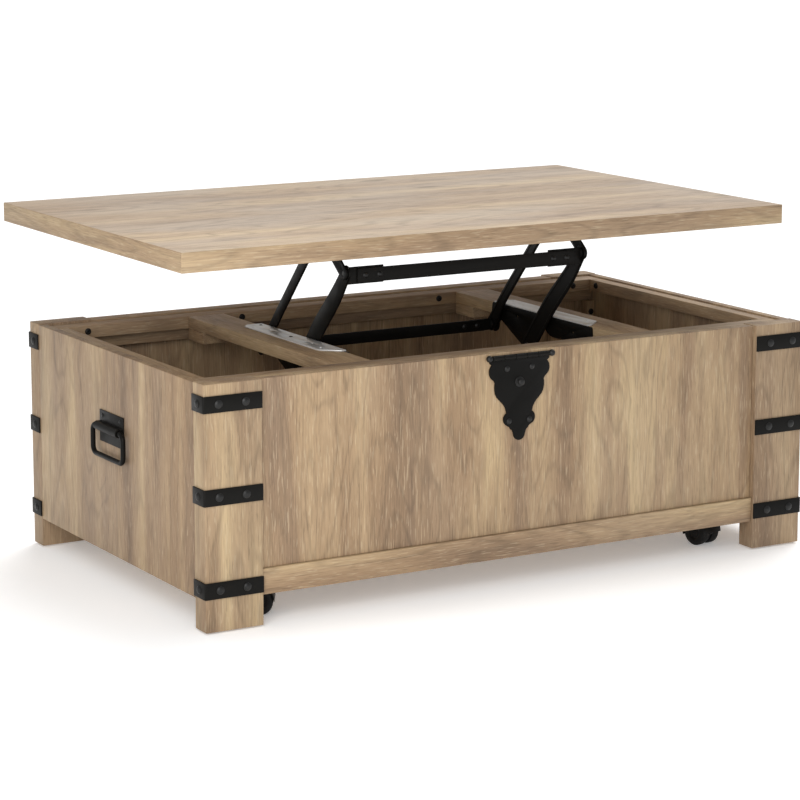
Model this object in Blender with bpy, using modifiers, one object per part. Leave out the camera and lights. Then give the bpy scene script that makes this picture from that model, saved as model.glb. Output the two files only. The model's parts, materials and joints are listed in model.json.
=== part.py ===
"""Lift-top trunk coffee table: a wooden chest on casters whose lid rises on a parallel-arm mechanism.

Metres, +Z up, +X to the right, the hasp side faces -Y. The model is drawn about the middle of the
chest, with the posts' feet at height 0, and one empty moves it so that the object's box stands
centred on the origin. The lid is drawn raised.
"""

import math

import bmesh
import bpy
from mathutils import Matrix, Vector

# Driving dimensions: the chest
CHEST_W = 1.200
CHEST_D = 0.7016
POST_FOOT = 0.003
POST_TOP = 0.410
POST_W = 0.104
POST_T = 0.039
GAP = 0.0003
EDGE = 0.0012

PANEL_TOP = 0.409
SIDE_T = 0.016
SIDE_BOTTOM = 0.0537
FRONT_T = 0.016
FRONT_SET_BACK = 0.010
FRONT_CAP_BOTTOM = 0.360
LOWER_RAIL_BOTTOM = 0.0523
LOWER_RAIL_TOP = 0.0953
LOWER_RAIL_SET_BACK = 0.0045
LOWER_RAIL_T = 0.0345

RAIL_TOP = 0.406
RAIL_T = 0.022
RAIL_INNER_Y = 0.273
RAIL_INNER_X = 0.560
LEDGER_INNER_Y = 0.300
LEDGER_BOTTOM = 0.360
DIVIDER_INNER_X = 0.250
DIVIDER_W = 0.072
REST_BLOCK_L = 0.090
REST_BLOCK_T = 0.020
BATTEN_W = 0.018
BATTEN_D = 0.0235
BOTTOM_Z = 0.066
BOTTOM_T = 0.016

# The lid and its lift mechanism
LID_W = 1.204
LID_D = 0.738
LID_T = 0.034
CLOSED_GAP = 0.0015
LID_EDGE = 0.0015
ARM_LENGTH = 0.260
RAISED_ANGLE = math.radians(49.0)
REAR_PIVOT_Y = 0.128
REAR_PIVOT_Z = 0.366
FRONT_PIVOT_Y = 0.0006
FRONT_PIVOT_Z = 0.342
CLOSED_REAR_PIVOT_DROP = 0.0174

ARM_X = 0.2375
ARM_T = 0.004
BRACKET_X = 0.2425
BRACKET_T = 0.003
WEB_X = 0.2467
WEB_T = 0.003
FLANGE_W = 0.036
FLANGE_T = 0.0025
STUD_R = 0.004
STUD_CLEARANCE = 0.0004
STUD_HEAD_R = 0.0075
STUD_HEAD_T = 0.003

# Ironwork
STRAP_H = 0.0275
STRAP_T = 0.0025
STRAP_CENTRES = (0.0720, 0.2255, 0.3775)
RIVET_R = 0.0072
RIVET_H = 0.0032
RIVET_LIFT = 0.0006
HASP_T = 0.0025
PIN_R = 0.0040
PIN_BALL_R = 0.0058
HANDLE_Z = 0.2765
HANDLE_PLATE_W = 0.096
BAIL_W = 0.122
BAIL_DROP = 0.050
BAIL_R = 0.0045
BAIL_STAND_OFF = 0.0092
BARREL_BORE = 0.0052
BARREL_R = 0.0075

# Casters
CASTER_X = 0.450
CASTER_Y = 0.280
WHEEL_R = 0.0245
WHEEL_T = 0.017
CASTER_TRAIL = 0.016
CASTER_TURN = {
    ("front", "left"): 240.0,
    ("front", "right"): 191.0,
    ("back", "left"): -28.0,
    ("back", "right"): 160.0,
}

# Worked out from the above
HALF_W = CHEST_W / 2
HALF_D = CHEST_D / 2
POST_INNER_X = HALF_W - POST_W
POST_INNER_Y = HALF_D - POST_T
SIDE_OUTER_X = HALF_W
SIDE_INNER_X = SIDE_OUTER_X - SIDE_T
FRONT_OUTER_Y = HALF_D - FRONT_SET_BACK
FRONT_INNER_Y = FRONT_OUTER_Y - FRONT_T
RAIL_BOTTOM = RAIL_TOP - RAIL_T
CLOSED_LID_Z = POST_TOP + CLOSED_GAP
CLOSED_ANGLE = math.asin((CLOSED_LID_Z - CLOSED_REAR_PIVOT_DROP - REAR_PIVOT_Z) / ARM_LENGTH)
LID_RISE = ARM_LENGTH * (math.sin(RAISED_ANGLE) - math.sin(CLOSED_ANGLE))
LID_SHIFT = ARM_LENGTH * (math.cos(CLOSED_ANGLE) - math.cos(RAISED_ANGLE))
LID_Z = CLOSED_LID_Z + LID_RISE
ARM_REACH = Vector((-math.cos(RAISED_ANGLE), math.sin(RAISED_ANGLE))) * ARM_LENGTH
REAR_BASE = Vector((REAR_PIVOT_Y, REAR_PIVOT_Z))
FRONT_BASE = Vector((FRONT_PIVOT_Y, FRONT_PIVOT_Z))
REAR_TOP = REAR_BASE + ARM_REACH
FRONT_TOP = FRONT_BASE + ARM_REACH
FRONT_MOST = HALF_D + GAP + STRAP_T + RIVET_H
REAR_MOST = LID_SHIFT + LID_D / 2
CHEST_Y = (FRONT_MOST - REAR_MOST) / 2

UPRIGHT = (math.pi / 2, 0.0, 0.0)
SIDEWAYS = (math.pi / 2, 0.0, math.pi / 2)
SIDES = {"left": -1, "right": 1}
ENDS = {"front": -1, "back": 1}


def clear_scene():
    for obj in list(bpy.data.objects):
        bpy.data.objects.remove(obj, do_unlink=True)


def new_collection(name):
    collection = bpy.data.collections.new(name)
    bpy.context.scene.collection.children.link(collection)
    return collection


def new_material(name, colour, roughness, metallic):
    material = bpy.data.materials.new(name)
    material.use_nodes = True
    shader = material.node_tree.nodes["Principled BSDF"]
    shader.inputs["Base Color"].default_value = (*colour, 1.0)
    shader.inputs["Roughness"].default_value = roughness
    shader.inputs["Metallic"].default_value = metallic
    return material


clear_scene()
TABLE = new_collection("lift_top_coffee_table")
CUTTERS = new_collection("cutters")
OAK = new_material("weathered_oak", (0.42, 0.30, 0.19), 0.6, 0.0)
IRON = new_material("black_painted_steel", (0.012, 0.012, 0.012), 0.45, 1.0)
ZINC = new_material("zinc_plated_steel", (0.60, 0.60, 0.58), 0.35, 1.0)
NYLON = new_material("black_nylon", (0.010, 0.010, 0.010), 0.5, 0.0)


def new_empty(name, location, parent=None, turn=0.0):
    empty = bpy.data.objects.new(name, None)
    empty.location = location
    empty.rotation_euler = (0.0, 0.0, turn)
    empty.parent = parent
    TABLE.objects.link(empty)
    return empty


CHEST = new_empty("chest", (0.0, CHEST_Y, 0.0))
FRONT_ARMS = new_empty("front_arms_pivot", (0.0, *FRONT_BASE), CHEST)
REAR_ARMS = new_empty("rear_arms_pivot", (0.0, *REAR_BASE), CHEST)
LID_PIVOT = new_empty("lid_pivot", (0.0, *FRONT_TOP), CHEST)


def new_object(name, mesh, location, rotation=(0.0, 0.0, 0.0), parent=CHEST):
    """Adds a mesh at a place measured in its parent's own frame."""
    obj = bpy.data.objects.new(name, mesh)
    obj.location = location
    obj.rotation_euler = rotation
    obj.parent = parent
    TABLE.objects.link(obj)
    return obj


def as_tool(obj):
    """Moves an object to the cutters, which are never part of the table."""
    TABLE.objects.unlink(obj)
    CUTTERS.objects.link(obj)
    obj.hide_render = True
    obj.display_type = "WIRE"
    return obj


def combine(obj, tool, operation):
    modifier = obj.modifiers.new(operation.lower(), "BOOLEAN")
    modifier.operation = operation
    modifier.object = as_tool(tool)


def soften_edges(obj, width=EDGE):
    bevel = obj.modifiers.new("edges", "BEVEL")
    bevel.width = width
    bevel.segments = 1
    bevel.limit_method = "ANGLE"
    bevel.angle_limit = math.radians(50)


def finish(obj, material, smooth=False):
    obj.data.materials.clear()
    obj.data.materials.append(material)
    if smooth:
        obj.data.shade_smooth()
        obj.data.set_sharp_from_angle(angle=math.radians(35))
    return obj


def mesh_from(bm, name):
    mesh = bpy.data.meshes.new(name)
    bm.to_mesh(mesh)
    bm.free()
    return mesh


def box_mesh(name, size):
    bm = bmesh.new()
    bmesh.ops.create_cube(bm, size=1.0)
    bmesh.ops.scale(bm, vec=size, verts=bm.verts)
    return mesh_from(bm, name)


def cylinder_mesh(name, radius, length, segments, axis="Z"):
    turn = {"Z": Matrix(), "X": Matrix.Rotation(math.pi / 2, 4, "Y"), "Y": Matrix.Rotation(math.pi / 2, 4, "X")}
    bm = bmesh.new()
    bmesh.ops.create_cone(
        bm, cap_ends=True, segments=segments, radius1=radius, radius2=radius, depth=length, matrix=turn[axis]
    )
    return mesh_from(bm, name)


def plate_mesh(name, outline, thickness, holes=()):
    """A flat plate in its own XY plane, from a closed outline and round holes (x, y, radius)."""
    curve = bpy.data.curves.new(name, "CURVE")
    curve.dimensions = "2D"
    curve.fill_mode = "BOTH"
    curve.extrude = thickness / 2
    rings = [outline] + [arc((x, y), radius, 0, 360, 12)[:-1] for x, y, radius in holes]
    for ring in rings:
        spline = curve.splines.new("POLY")
        spline.points.add(len(ring) - 1)
        for point, (x, y) in zip(spline.points, ring):
            point.co = (x, y, 0.0, 1.0)
        spline.use_cyclic_u = True
    return curve_to_mesh(name, curve)


def curve_to_mesh(name, curve):
    """The curve's own solid as a mesh with its caps welded on."""
    guide = bpy.data.objects.new(name, curve)
    bpy.context.scene.collection.objects.link(guide)
    mesh = bpy.data.meshes.new_from_object(guide.evaluated_get(bpy.context.evaluated_depsgraph_get()))
    bpy.data.objects.remove(guide, do_unlink=True)
    bm = bmesh.new()
    bm.from_mesh(mesh)
    bmesh.ops.remove_doubles(bm, verts=bm.verts, dist=1e-6)
    bmesh.ops.recalc_face_normals(bm, faces=bm.faces)
    bm.to_mesh(mesh)
    bm.free()
    return mesh


def arc(centre, radius, start, end, steps):
    """Points on an arc, angles in degrees."""
    points = []
    for i in range(steps + 1):
        angle = math.radians(start + (end - start) * i / steps)
        points.append((centre[0] + radius * math.cos(angle), centre[1] + radius * math.sin(angle)))
    return points


def board(name, low, high, parent=CHEST):
    """A board with softened edges between two corners, in the chest's frame."""
    low = Vector(low)
    high = Vector(high)
    obj = new_object(name, box_mesh(name, high - low), (low + high) / 2, parent=parent)
    soften_edges(obj)
    return finish(obj, OAK)


def spanning(side, inner, outer):
    """The lowest and highest of two distances from the middle, on the side with this sign."""
    return sorted((side * inner, side * outer))


# The chest's woodwork
def make_posts():
    for end, sy in ENDS.items():
        for side, sx in SIDES.items():
            x0, x1 = spanning(sx, POST_INNER_X, HALF_W)
            y0, y1 = spanning(sy, POST_INNER_Y, HALF_D)
            board(f"post_{end}_{side}", (x0, y0, POST_FOOT), (x1, y1, POST_TOP))


def make_walls():
    """Side panels between the posts, and front and back panels with a thickened top edge."""
    length = POST_INNER_Y - GAP
    for side, sx in SIDES.items():
        x0, x1 = spanning(sx, SIDE_INNER_X, SIDE_OUTER_X)
        board(f"side_panel_{side}", (x0, -length, SIDE_BOTTOM), (x1, length, PANEL_TOP))
    cap = POST_INNER_Y + GAP
    section = [
        (FRONT_OUTER_Y, LOWER_RAIL_TOP + GAP),
        (FRONT_OUTER_Y, PANEL_TOP),
        (cap, PANEL_TOP),
        (cap, FRONT_CAP_BOTTOM),
        (FRONT_INNER_Y, FRONT_CAP_BOTTOM),
        (FRONT_INNER_Y, LOWER_RAIL_TOP + GAP),
    ]
    width = 2 * (POST_INNER_X - GAP)
    for end, sy in ENDS.items():
        outline = [(sy * y, z) for y, z in section]
        panel = new_object(f"{end}_panel", plate_mesh(f"{end}_panel", outline, width), (0, 0, 0), SIDEWAYS)
        soften_edges(panel)
        finish(panel, OAK)
        outer = HALF_D - LOWER_RAIL_SET_BACK
        y0, y1 = spanning(sy, outer - LOWER_RAIL_T, outer)
        half = POST_INNER_X - GAP
        board(f"{end}_lower_rail", (-half, y0, LOWER_RAIL_BOTTOM), (half, y1, LOWER_RAIL_TOP))


def make_top_frame():
    """Rails laid flat round the inside of the mouth. The front and back ones have a ledger below."""
    half = SIDE_INNER_X - GAP
    outer = POST_INNER_Y - GAP
    section = [
        (outer, RAIL_TOP), (RAIL_INNER_Y, RAIL_TOP), (RAIL_INNER_Y, RAIL_BOTTOM),
        (LEDGER_INNER_Y, RAIL_BOTTOM), (LEDGER_INNER_Y, LEDGER_BOTTOM), (outer, LEDGER_BOTTOM),
    ]  # fmt: skip
    for end, sy in ENDS.items():
        name = f"{end}_top_rail"
        outline = [(sy * y, z) for y, z in section]
        finish(new_object(name, plate_mesh(name, outline, 2 * half), (0, 0, 0), SIDEWAYS), OAK)
    length = RAIL_INNER_Y - GAP
    for side, sx in SIDES.items():
        x0, x1 = spanning(sx, RAIL_INNER_X, half)
        board(f"side_top_rail_{side}", (x0, -length, RAIL_BOTTOM), (x1, length, RAIL_TOP))


def make_battens():
    """Upright battens in the chest's corners, from the bottom panel to the ledgers."""
    half = SIDE_INNER_X - GAP
    outer = POST_INNER_Y - GAP
    low = BOTTOM_Z + BOTTOM_T + GAP
    for end, sy in ENDS.items():
        for side, sx in SIDES.items():
            x0, x1 = spanning(sx, half - BATTEN_W, half)
            y0, y1 = spanning(sy, outer - BATTEN_D, outer)
            board(f"corner_batten_{end}_{side}", (x0, y0, low), (x1, y1, LEDGER_BOTTOM - GAP))


def make_bottom():
    half = SIDE_INNER_X - GAP
    length = POST_INNER_Y - GAP
    board("bottom_panel", (-half, -length, BOTTOM_Z), (half, length, BOTTOM_Z + BOTTOM_T))


def make_dividers():
    """A board across the mouth on each side, with a rest block glued under each of its ends."""
    length = RAIL_INNER_Y - GAP
    reach = LEDGER_INNER_Y - GAP
    top = RAIL_BOTTOM - GAP
    for side, sx in SIDES.items():
        x0, x1 = spanning(sx, DIVIDER_INNER_X, DIVIDER_INNER_X + DIVIDER_W)
        middle = (x0 + x1) / 2
        name = f"divider_board_{side}"
        size = (DIVIDER_W, 2 * length, RAIL_T)
        divider = new_object(name, box_mesh(name, size), (middle, 0, RAIL_BOTTOM + RAIL_T / 2))
        for sy in ENDS.values():
            y0, y1 = spanning(sy, reach - REST_BLOCK_L, length)
            shape = [(y0, top - REST_BLOCK_T), (y1, top - REST_BLOCK_T), (y1, RAIL_BOTTOM + GAP), (y0, RAIL_BOTTOM + GAP)]
            block = new_object("rest_block", plate_mesh("rest_block", shape, DIVIDER_W), (middle, 0, 0), SIDEWAYS)
            combine(divider, block, "UNION")
        finish(divider, OAK)


def make_lid():
    size = (LID_W, LID_D, LID_T)
    place = Vector((0.0, LID_SHIFT, LID_Z + LID_T / 2)) - LID_PIVOT.location
    lid = new_object("lid", box_mesh("lid", size), place, parent=LID_PIVOT)
    soften_edges(lid, LID_EDGE)
    finish(lid, OAK)


# The lift mechanism
def along_arm(base, distance, offset):
    """A point in the plane of the arms: so far up the arm from its base, so far in front of it."""
    up = ARM_REACH.normalized()
    front = Vector((-up.y, up.x))
    return base + up * distance + front * offset


def bar_outline(points, half_widths, steps=6):
    """A flat bar with round ends along a centre line, as wide at each point as stated."""
    left = []
    right = []
    last = len(points) - 1
    for i, (point, half) in enumerate(zip(points, half_widths)):
        before = points[max(i - 1, 0)]
        after = points[min(i + 1, last)]
        tangent = (Vector(after) - Vector(before)).normalized()
        side = Vector((-tangent.y, tangent.x)) * half
        left.append(tuple(Vector(point) + side))
        right.append(tuple(Vector(point) - side))
    first = (Vector(points[1]) - Vector(points[0])).normalized()
    final = (Vector(points[last]) - Vector(points[last - 1])).normalized()
    start = math.degrees(math.atan2(first.y, first.x))
    end = math.degrees(math.atan2(final.y, final.x))
    tail = arc(points[0], half_widths[0], start + 90, start + 270, steps)
    head = arc(points[last], half_widths[last], end - 90, end + 90, steps)
    return tail[:-1] + right[:-1] + head[:-1] + [tuple(p) for p in left[::-1]][:-1]


def stud(parent, centre, x_head, x_end):
    """A pivot stud with a head, from x_head to x_end, about a point in its parent's frame."""
    outward = 1 if x_end > x_head else -1
    shank = abs(x_end - x_head)
    profile = [
        (STUD_HEAD_R, STUD_HEAD_T * 0.5), (STUD_HEAD_R * 0.7, 0.0), (0.0, 0.0),
    ]  # fmt: skip
    bm = bmesh.new()
    bmesh.ops.create_cone(
        bm, cap_ends=True, segments=16, radius1=STUD_R, radius2=STUD_R, depth=shank,
        matrix=Matrix.Translation((0, 0, shank / 2)),
    )  # fmt: skip
    shank_mesh = mesh_from(bm, "stud")
    tool = new_object("stud", shank_mesh, (x_head, *centre), (0, outward * math.pi / 2, 0), parent)
    bm = bmesh.new()
    bmesh.ops.create_cone(
        bm, cap_ends=True, segments=16, radius1=profile[1][0], radius2=profile[0][0], depth=STUD_HEAD_T,
        matrix=Matrix.Translation((0, 0, STUD_HEAD_T / 2)),
    )  # fmt: skip
    head = new_object("stud_head", mesh_from(bm, "stud_head"), (x_head, *centre), (0, outward * math.pi / 2, 0), parent)
    return tool, head


def make_arm(name, side, parent, outline, studs, tab_y, tab_z, tab_x):
    """One arm: a flat bar, its pivot studs, and a tab bent inwards for the crossbar."""
    sx = SIDES[side]
    middle = sx * (ARM_X + ARM_T / 2)
    arm = new_object(name, plate_mesh(name, outline, ARM_T), (middle, 0, 0), SIDEWAYS, parent)
    head_x = sx * (ARM_X - STUD_HEAD_T + 0.0006)
    for centre, reach in studs:
        for tool in stud(parent, centre, head_x, sx * reach):
            combine(arm, tool, "UNION")
    x0, x1 = spanning(sx, tab_x, ARM_X + ARM_T / 2)
    size = (x1 - x0, tab_y[1] - tab_y[0], tab_z[1] - tab_z[0])
    place = ((x0 + x1) / 2, sum(tab_y) / 2, sum(tab_z) / 2)
    combine(arm, new_object("tab", box_mesh("tab", size), place, parent=parent), "UNION")
    return finish(arm, IRON)


FRONT_BAR_Y = -0.1768 - FRONT_PIVOT_Y
FRONT_BAR_Z = 0.533 - FRONT_PIVOT_Z
BAR_H = 0.025
BAR_T = 0.003
BAR_HALF = 0.221


def make_front_arms():
    origin = Vector((0.0, 0.0))
    centre_line = [
        origin,
        along_arm(origin, 0.110, -0.003),
        along_arm(origin, 0.215, 0.002),
        along_arm(origin, ARM_LENGTH, 0.0),
    ]
    outline = bar_outline([tuple(p) for p in centre_line], (0.0185, 0.0185, 0.0165, 0.0135))
    base_reach = WEB_X + WEB_T
    top_reach = BRACKET_X + BRACKET_T
    tab_y = (FRONT_BAR_Y + BAR_T + GAP, FRONT_BAR_Y + 2 * BAR_T + GAP)
    tab_z = (FRONT_BAR_Z - BAR_H / 2 - 0.002, FRONT_BAR_Z + BAR_H / 2 + 0.003)
    studs = [((0.0, 0.0), base_reach), (tuple(ARM_REACH), top_reach)]
    for side in SIDES:
        make_arm(f"front_arm_{side}", side, FRONT_ARMS, outline, studs, tab_y, tab_z, 0.168)
    size = (2 * BAR_HALF, BAR_T, BAR_H)
    place = (0, FRONT_BAR_Y + BAR_T / 2, FRONT_BAR_Z)
    bar = new_object("upper_crossbar", box_mesh("upper_crossbar", size), place, parent=FRONT_ARMS)
    finish(bar, IRON)


def make_rear_arms():
    origin = Vector((0.0, 0.0))
    line = [tuple(origin), tuple(along_arm(origin, 0.070, -0.004)), tuple(along_arm(origin, ARM_LENGTH, 0.0))]
    outline = bar_outline(line, (0.0130, 0.0105, 0.0105))
    base_reach = WEB_X + WEB_T
    top_reach = BRACKET_X + BRACKET_T
    height = 0.022
    bar_y = -0.0065
    tab_y = (bar_y + BAR_T + GAP, bar_y + 2 * BAR_T + GAP)
    studs = [((0.0, 0.0), base_reach), (tuple(ARM_REACH), top_reach)]
    for side in SIDES:
        make_arm(f"rear_arm_{side}", side, REAR_ARMS, outline, studs, tab_y, (-height / 2, height / 2), 0.190)
    size = (2 * BAR_HALF, BAR_T, height)
    bar = new_object("lower_crossbar", box_mesh("lower_crossbar", size), (0, bar_y + BAR_T / 2, 0), parent=REAR_ARMS)
    finish(bar, IRON)


def make_base_plates():
    """The fixed plate on each divider board: an upright web on its inner face, a flange on its top."""
    top = RAIL_TOP + GAP
    front = -0.196
    rear = 0.136
    flange_front = -0.182
    flange_rear = 0.128
    fx, fz = FRONT_BASE
    rx, rz = REAR_BASE
    web = [
        (rear, top), (front, top), (front - 0.002, top - 0.009), (front, 0.380), (-0.180, 0.372),
        (-0.076, 0.3690), (-0.056, 0.3735), (-0.044, 0.3800), (-0.035, 0.3800), (-0.025, 0.3720),
    ]  # fmt: skip
    web += arc((fx, fz), 0.0175, 180, 315, 7)
    web += [(0.1030, 0.3760)]
    web += arc((rx, rz), 0.0150, 165, 375, 9)
    hole = STUD_R + STUD_CLEARANCE
    holes = [(fx, fz, hole), (rx, rz, hole)]
    for side, sx in SIDES.items():
        name = f"base_plate_{side}"
        middle = sx * (WEB_X + WEB_T / 2)
        plate = new_object(name, plate_mesh(name, web, WEB_T, holes), (middle, 0, 0), SIDEWAYS)
        inner = WEB_X
        outer = DIVIDER_INNER_X + FLANGE_W
        shape = [(inner, flange_front), (inner + 0.009, flange_front), (outer, flange_front + 0.028)]
        shape += [(outer, flange_rear), (inner, flange_rear)]
        outline = [(sx * x, y) for x, y in shape]
        height = FLANGE_T + 0.0002
        place = (0, 0, top + FLANGE_T - height / 2)
        combine(plate, new_object("flange", plate_mesh("flange", outline, height), place), "UNION")
        finish(plate, ZINC)


def make_lid_brackets():
    """The angle under the lid on each side, with an ear at each arm's top pivot."""
    top = LID_Z - GAP - LID_PIVOT.location.z
    fy, fz = 0.0, 0.0
    ry, rz = REAR_TOP - FRONT_TOP
    rear = ry + 0.070
    outline = [(rear, top), (rear, top - 0.010), (ry + 0.020, top - 0.012)]
    outline += arc((ry, rz), 0.0120, 20, -160, 8)
    outline += [(0.070, top - 0.012), (0.045, top - 0.022)]
    outline += arc((fy, fz), 0.0120, -50, -230, 8)
    outline += [(0.030, top - 0.004), (0.036, top)]
    hole = STUD_R + STUD_CLEARANCE
    holes = [(fy, fz, hole), (ry, rz, hole)]
    for side, sx in SIDES.items():
        name = f"lid_bracket_{side}"
        middle = sx * (BRACKET_X + BRACKET_T / 2)
        bracket = new_object(name, plate_mesh(name, outline, BRACKET_T, holes), (middle, 0, 0), SIDEWAYS, LID_PIVOT)
        x0, x1 = spanning(sx, BRACKET_X - 0.029, BRACKET_X + BRACKET_T - 0.0001)
        size = (x1 - x0, rear - 0.040, FLANGE_T)
        place = ((x0 + x1) / 2, (rear + 0.040) / 2 - 0.0001, top - FLANGE_T / 2 - 0.0001)
        combine(bracket, new_object("foot", box_mesh("foot", size), place, parent=LID_PIVOT), "UNION")
        finish(bracket, IRON)


# Ironwork
def rivet_mesh(name, places, turn):
    """Domed heads, joined as one tool, each pushed slightly into the plate that it is fixed to."""
    bm = bmesh.new()
    for place in places:
        matrix = Matrix.Translation(place) @ turn @ Matrix.Diagonal((1.0, 1.0, (RIVET_H - RIVET_LIFT) / RIVET_R, 1.0))
        bmesh.ops.create_uvsphere(bm, u_segments=8, v_segments=4, radius=RIVET_R, matrix=matrix)
    return mesh_from(bm, name)


def make_straps():
    """Three corner straps on each post: a long leg on the face, a short leg on the side."""
    facing = Matrix.Rotation(math.pi / 2, 4, "X")
    sideways = Matrix.Rotation(math.pi / 2, 4, "Y")
    for end, sy in ENDS.items():
        for side, sx in SIDES.items():
            outer = (HALF_W + GAP + STRAP_T, HALF_D + GAP + STRAP_T)
            inner = (HALF_W + GAP, HALF_D + GAP)
            shape = [
                (POST_INNER_X, inner[1]), (inner[0], inner[1]), (inner[0], POST_INNER_Y),
                (outer[0], POST_INNER_Y), (outer[0], outer[1]), (POST_INNER_X, outer[1]),
            ]  # fmt: skip
            outline = [(sx * x, sy * y) for x, y in shape]
            for i, height in enumerate(STRAP_CENTRES, start=1):
                name = f"strap_{end}_{side}_{i}"
                strap = new_object(name, plate_mesh(name, outline, STRAP_H), (0, 0, height))
                front = [(sx * (HALF_W - POST_W * f), sy * (outer[1] + RIVET_LIFT), 0) for f in (0.24, 0.71)]
                cheek = [(sx * (outer[0] + RIVET_LIFT), sy * (HALF_D - POST_T * 0.5), 0)]
                for part, turn in ((front, facing), (cheek, sideways)):
                    tool = new_object("rivets", rivet_mesh("rivets", part, turn), (0, 0, height))
                    combine(strap, tool, "UNION")
                finish(strap, IRON)


def make_hasp():
    """A scalloped plate on the front, the pin that it hangs from, four rivets and a round boss."""
    half = [(0.0610, 0.3970)]
    half += arc((0.0480, 0.3790), 0.0175, 50, -75, 7)
    half += arc((0.0360, 0.3480), 0.0190, 42, -30, 5)
    half += [(0.0430, 0.3280), (0.0300, 0.3075)]
    half += arc((0.0210, 0.2925), 0.0145, 45, -60, 6)
    half += [(0.0180, 0.2760)]
    half += arc((0.0, 0.2680), 0.0125, -5, -90, 5)
    outline = half + [(-x, z) for x, z in half[-2::-1]]
    face = -(FRONT_OUTER_Y + GAP + HASP_T / 2)
    plate = new_object("hasp_plate", plate_mesh("hasp_plate", outline, HASP_T), (0, face, 0), UPRIGHT)
    facing = Matrix.Rotation(math.pi / 2, 4, "X")
    surface = -HASP_T / 2 - RIVET_LIFT
    spots = [(0.025, 0.3810), (-0.025, 0.3810), (0.0205, 0.2900), (-0.0205, 0.2900)]
    places = [(x, surface, z) for x, z in spots]
    combine(plate, new_object("rivets", rivet_mesh("rivets", places, facing), (0, face, 0)), "UNION")
    boss = cylinder_mesh("boss", 0.009, 0.005, 16, "Y")
    combine(plate, new_object("boss", boss, (0, face - HASP_T / 2 - 0.0015, 0.3568)), "UNION")
    finish(plate, IRON)
    pin_z = 0.4015
    pin_y = -(FRONT_OUTER_Y + GAP + PIN_BALL_R)
    pin = new_object("hasp_pin", cylinder_mesh("hasp_pin", PIN_R, 0.124, 12, "X"), (0, pin_y, pin_z))
    for sx in SIDES.values():
        bm = bmesh.new()
        bmesh.ops.create_uvsphere(bm, u_segments=10, v_segments=6, radius=PIN_BALL_R)
        ball = new_object("ball", mesh_from(bm, "ball"), (sx * 0.0630, pin_y, pin_z))
        combine(pin, ball, "UNION")
    finish(pin, IRON, smooth=True)


def make_handles():
    """A plate with a rolled barrel on each side panel, and the drop bail that hangs in it."""
    for side, sx in SIDES.items():
        x_plate = sx * (SIDE_OUTER_X + GAP + 0.001)
        x_bail = sx * (SIDE_OUTER_X + BAIL_STAND_OFF)
        name = f"handle_plate_{side}"
        size = (0.002, HANDLE_PLATE_W, 0.055)
        plate = new_object(name, box_mesh(name, size), (x_plate, 0, HANDLE_Z - 0.001))
        barrel_l = HANDLE_PLATE_W - 0.006
        barrel = new_object("barrel", cylinder_mesh("barrel", BARREL_R, barrel_l, 16, "Y"), (x_bail, 0, HANDLE_Z))
        combine(plate, barrel, "UNION")
        bore_l = HANDLE_PLATE_W + 0.02
        bore = new_object("bore", cylinder_mesh("bore", BARREL_BORE, bore_l, 16, "Y"), (x_bail, 0, HANDLE_Z))
        combine(plate, bore, "DIFFERENCE")
        finish(plate, IRON)
        pivot = new_empty(f"bail_pivot_{side}", (x_bail, 0, HANDLE_Z), CHEST)
        finish(new_object(f"bail_{side}", bail_mesh(f"bail_{side}"), (0, 0, 0), parent=pivot), IRON, smooth=True)


def bail_mesh(name):
    """A rounded rectangle of round rod in its own YZ plane, its top bar on the origin's level."""
    half = BAIL_W / 2
    corner = 0.012
    ring = []
    corners = ((half, 0, 0), (-half, 0, 90), (-half, -BAIL_DROP, 180), (half, -BAIL_DROP, 270))
    for y, z, start in corners:
        centre = (y - math.copysign(corner, y), z - corner if z == 0 else z + corner)
        ring += arc(centre, corner, start, start + 90, 4)
    curve = bpy.data.curves.new(name, "CURVE")
    curve.dimensions = "3D"
    curve.bevel_depth = BAIL_R
    curve.bevel_resolution = 2
    spline = curve.splines.new("POLY")
    spline.points.add(len(ring) - 1)
    for point, (y, z) in zip(spline.points, ring):
        point.co = (0.0, y, z, 1.0)
    spline.use_cyclic_u = True
    return curve_to_mesh(name, curve)


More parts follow.
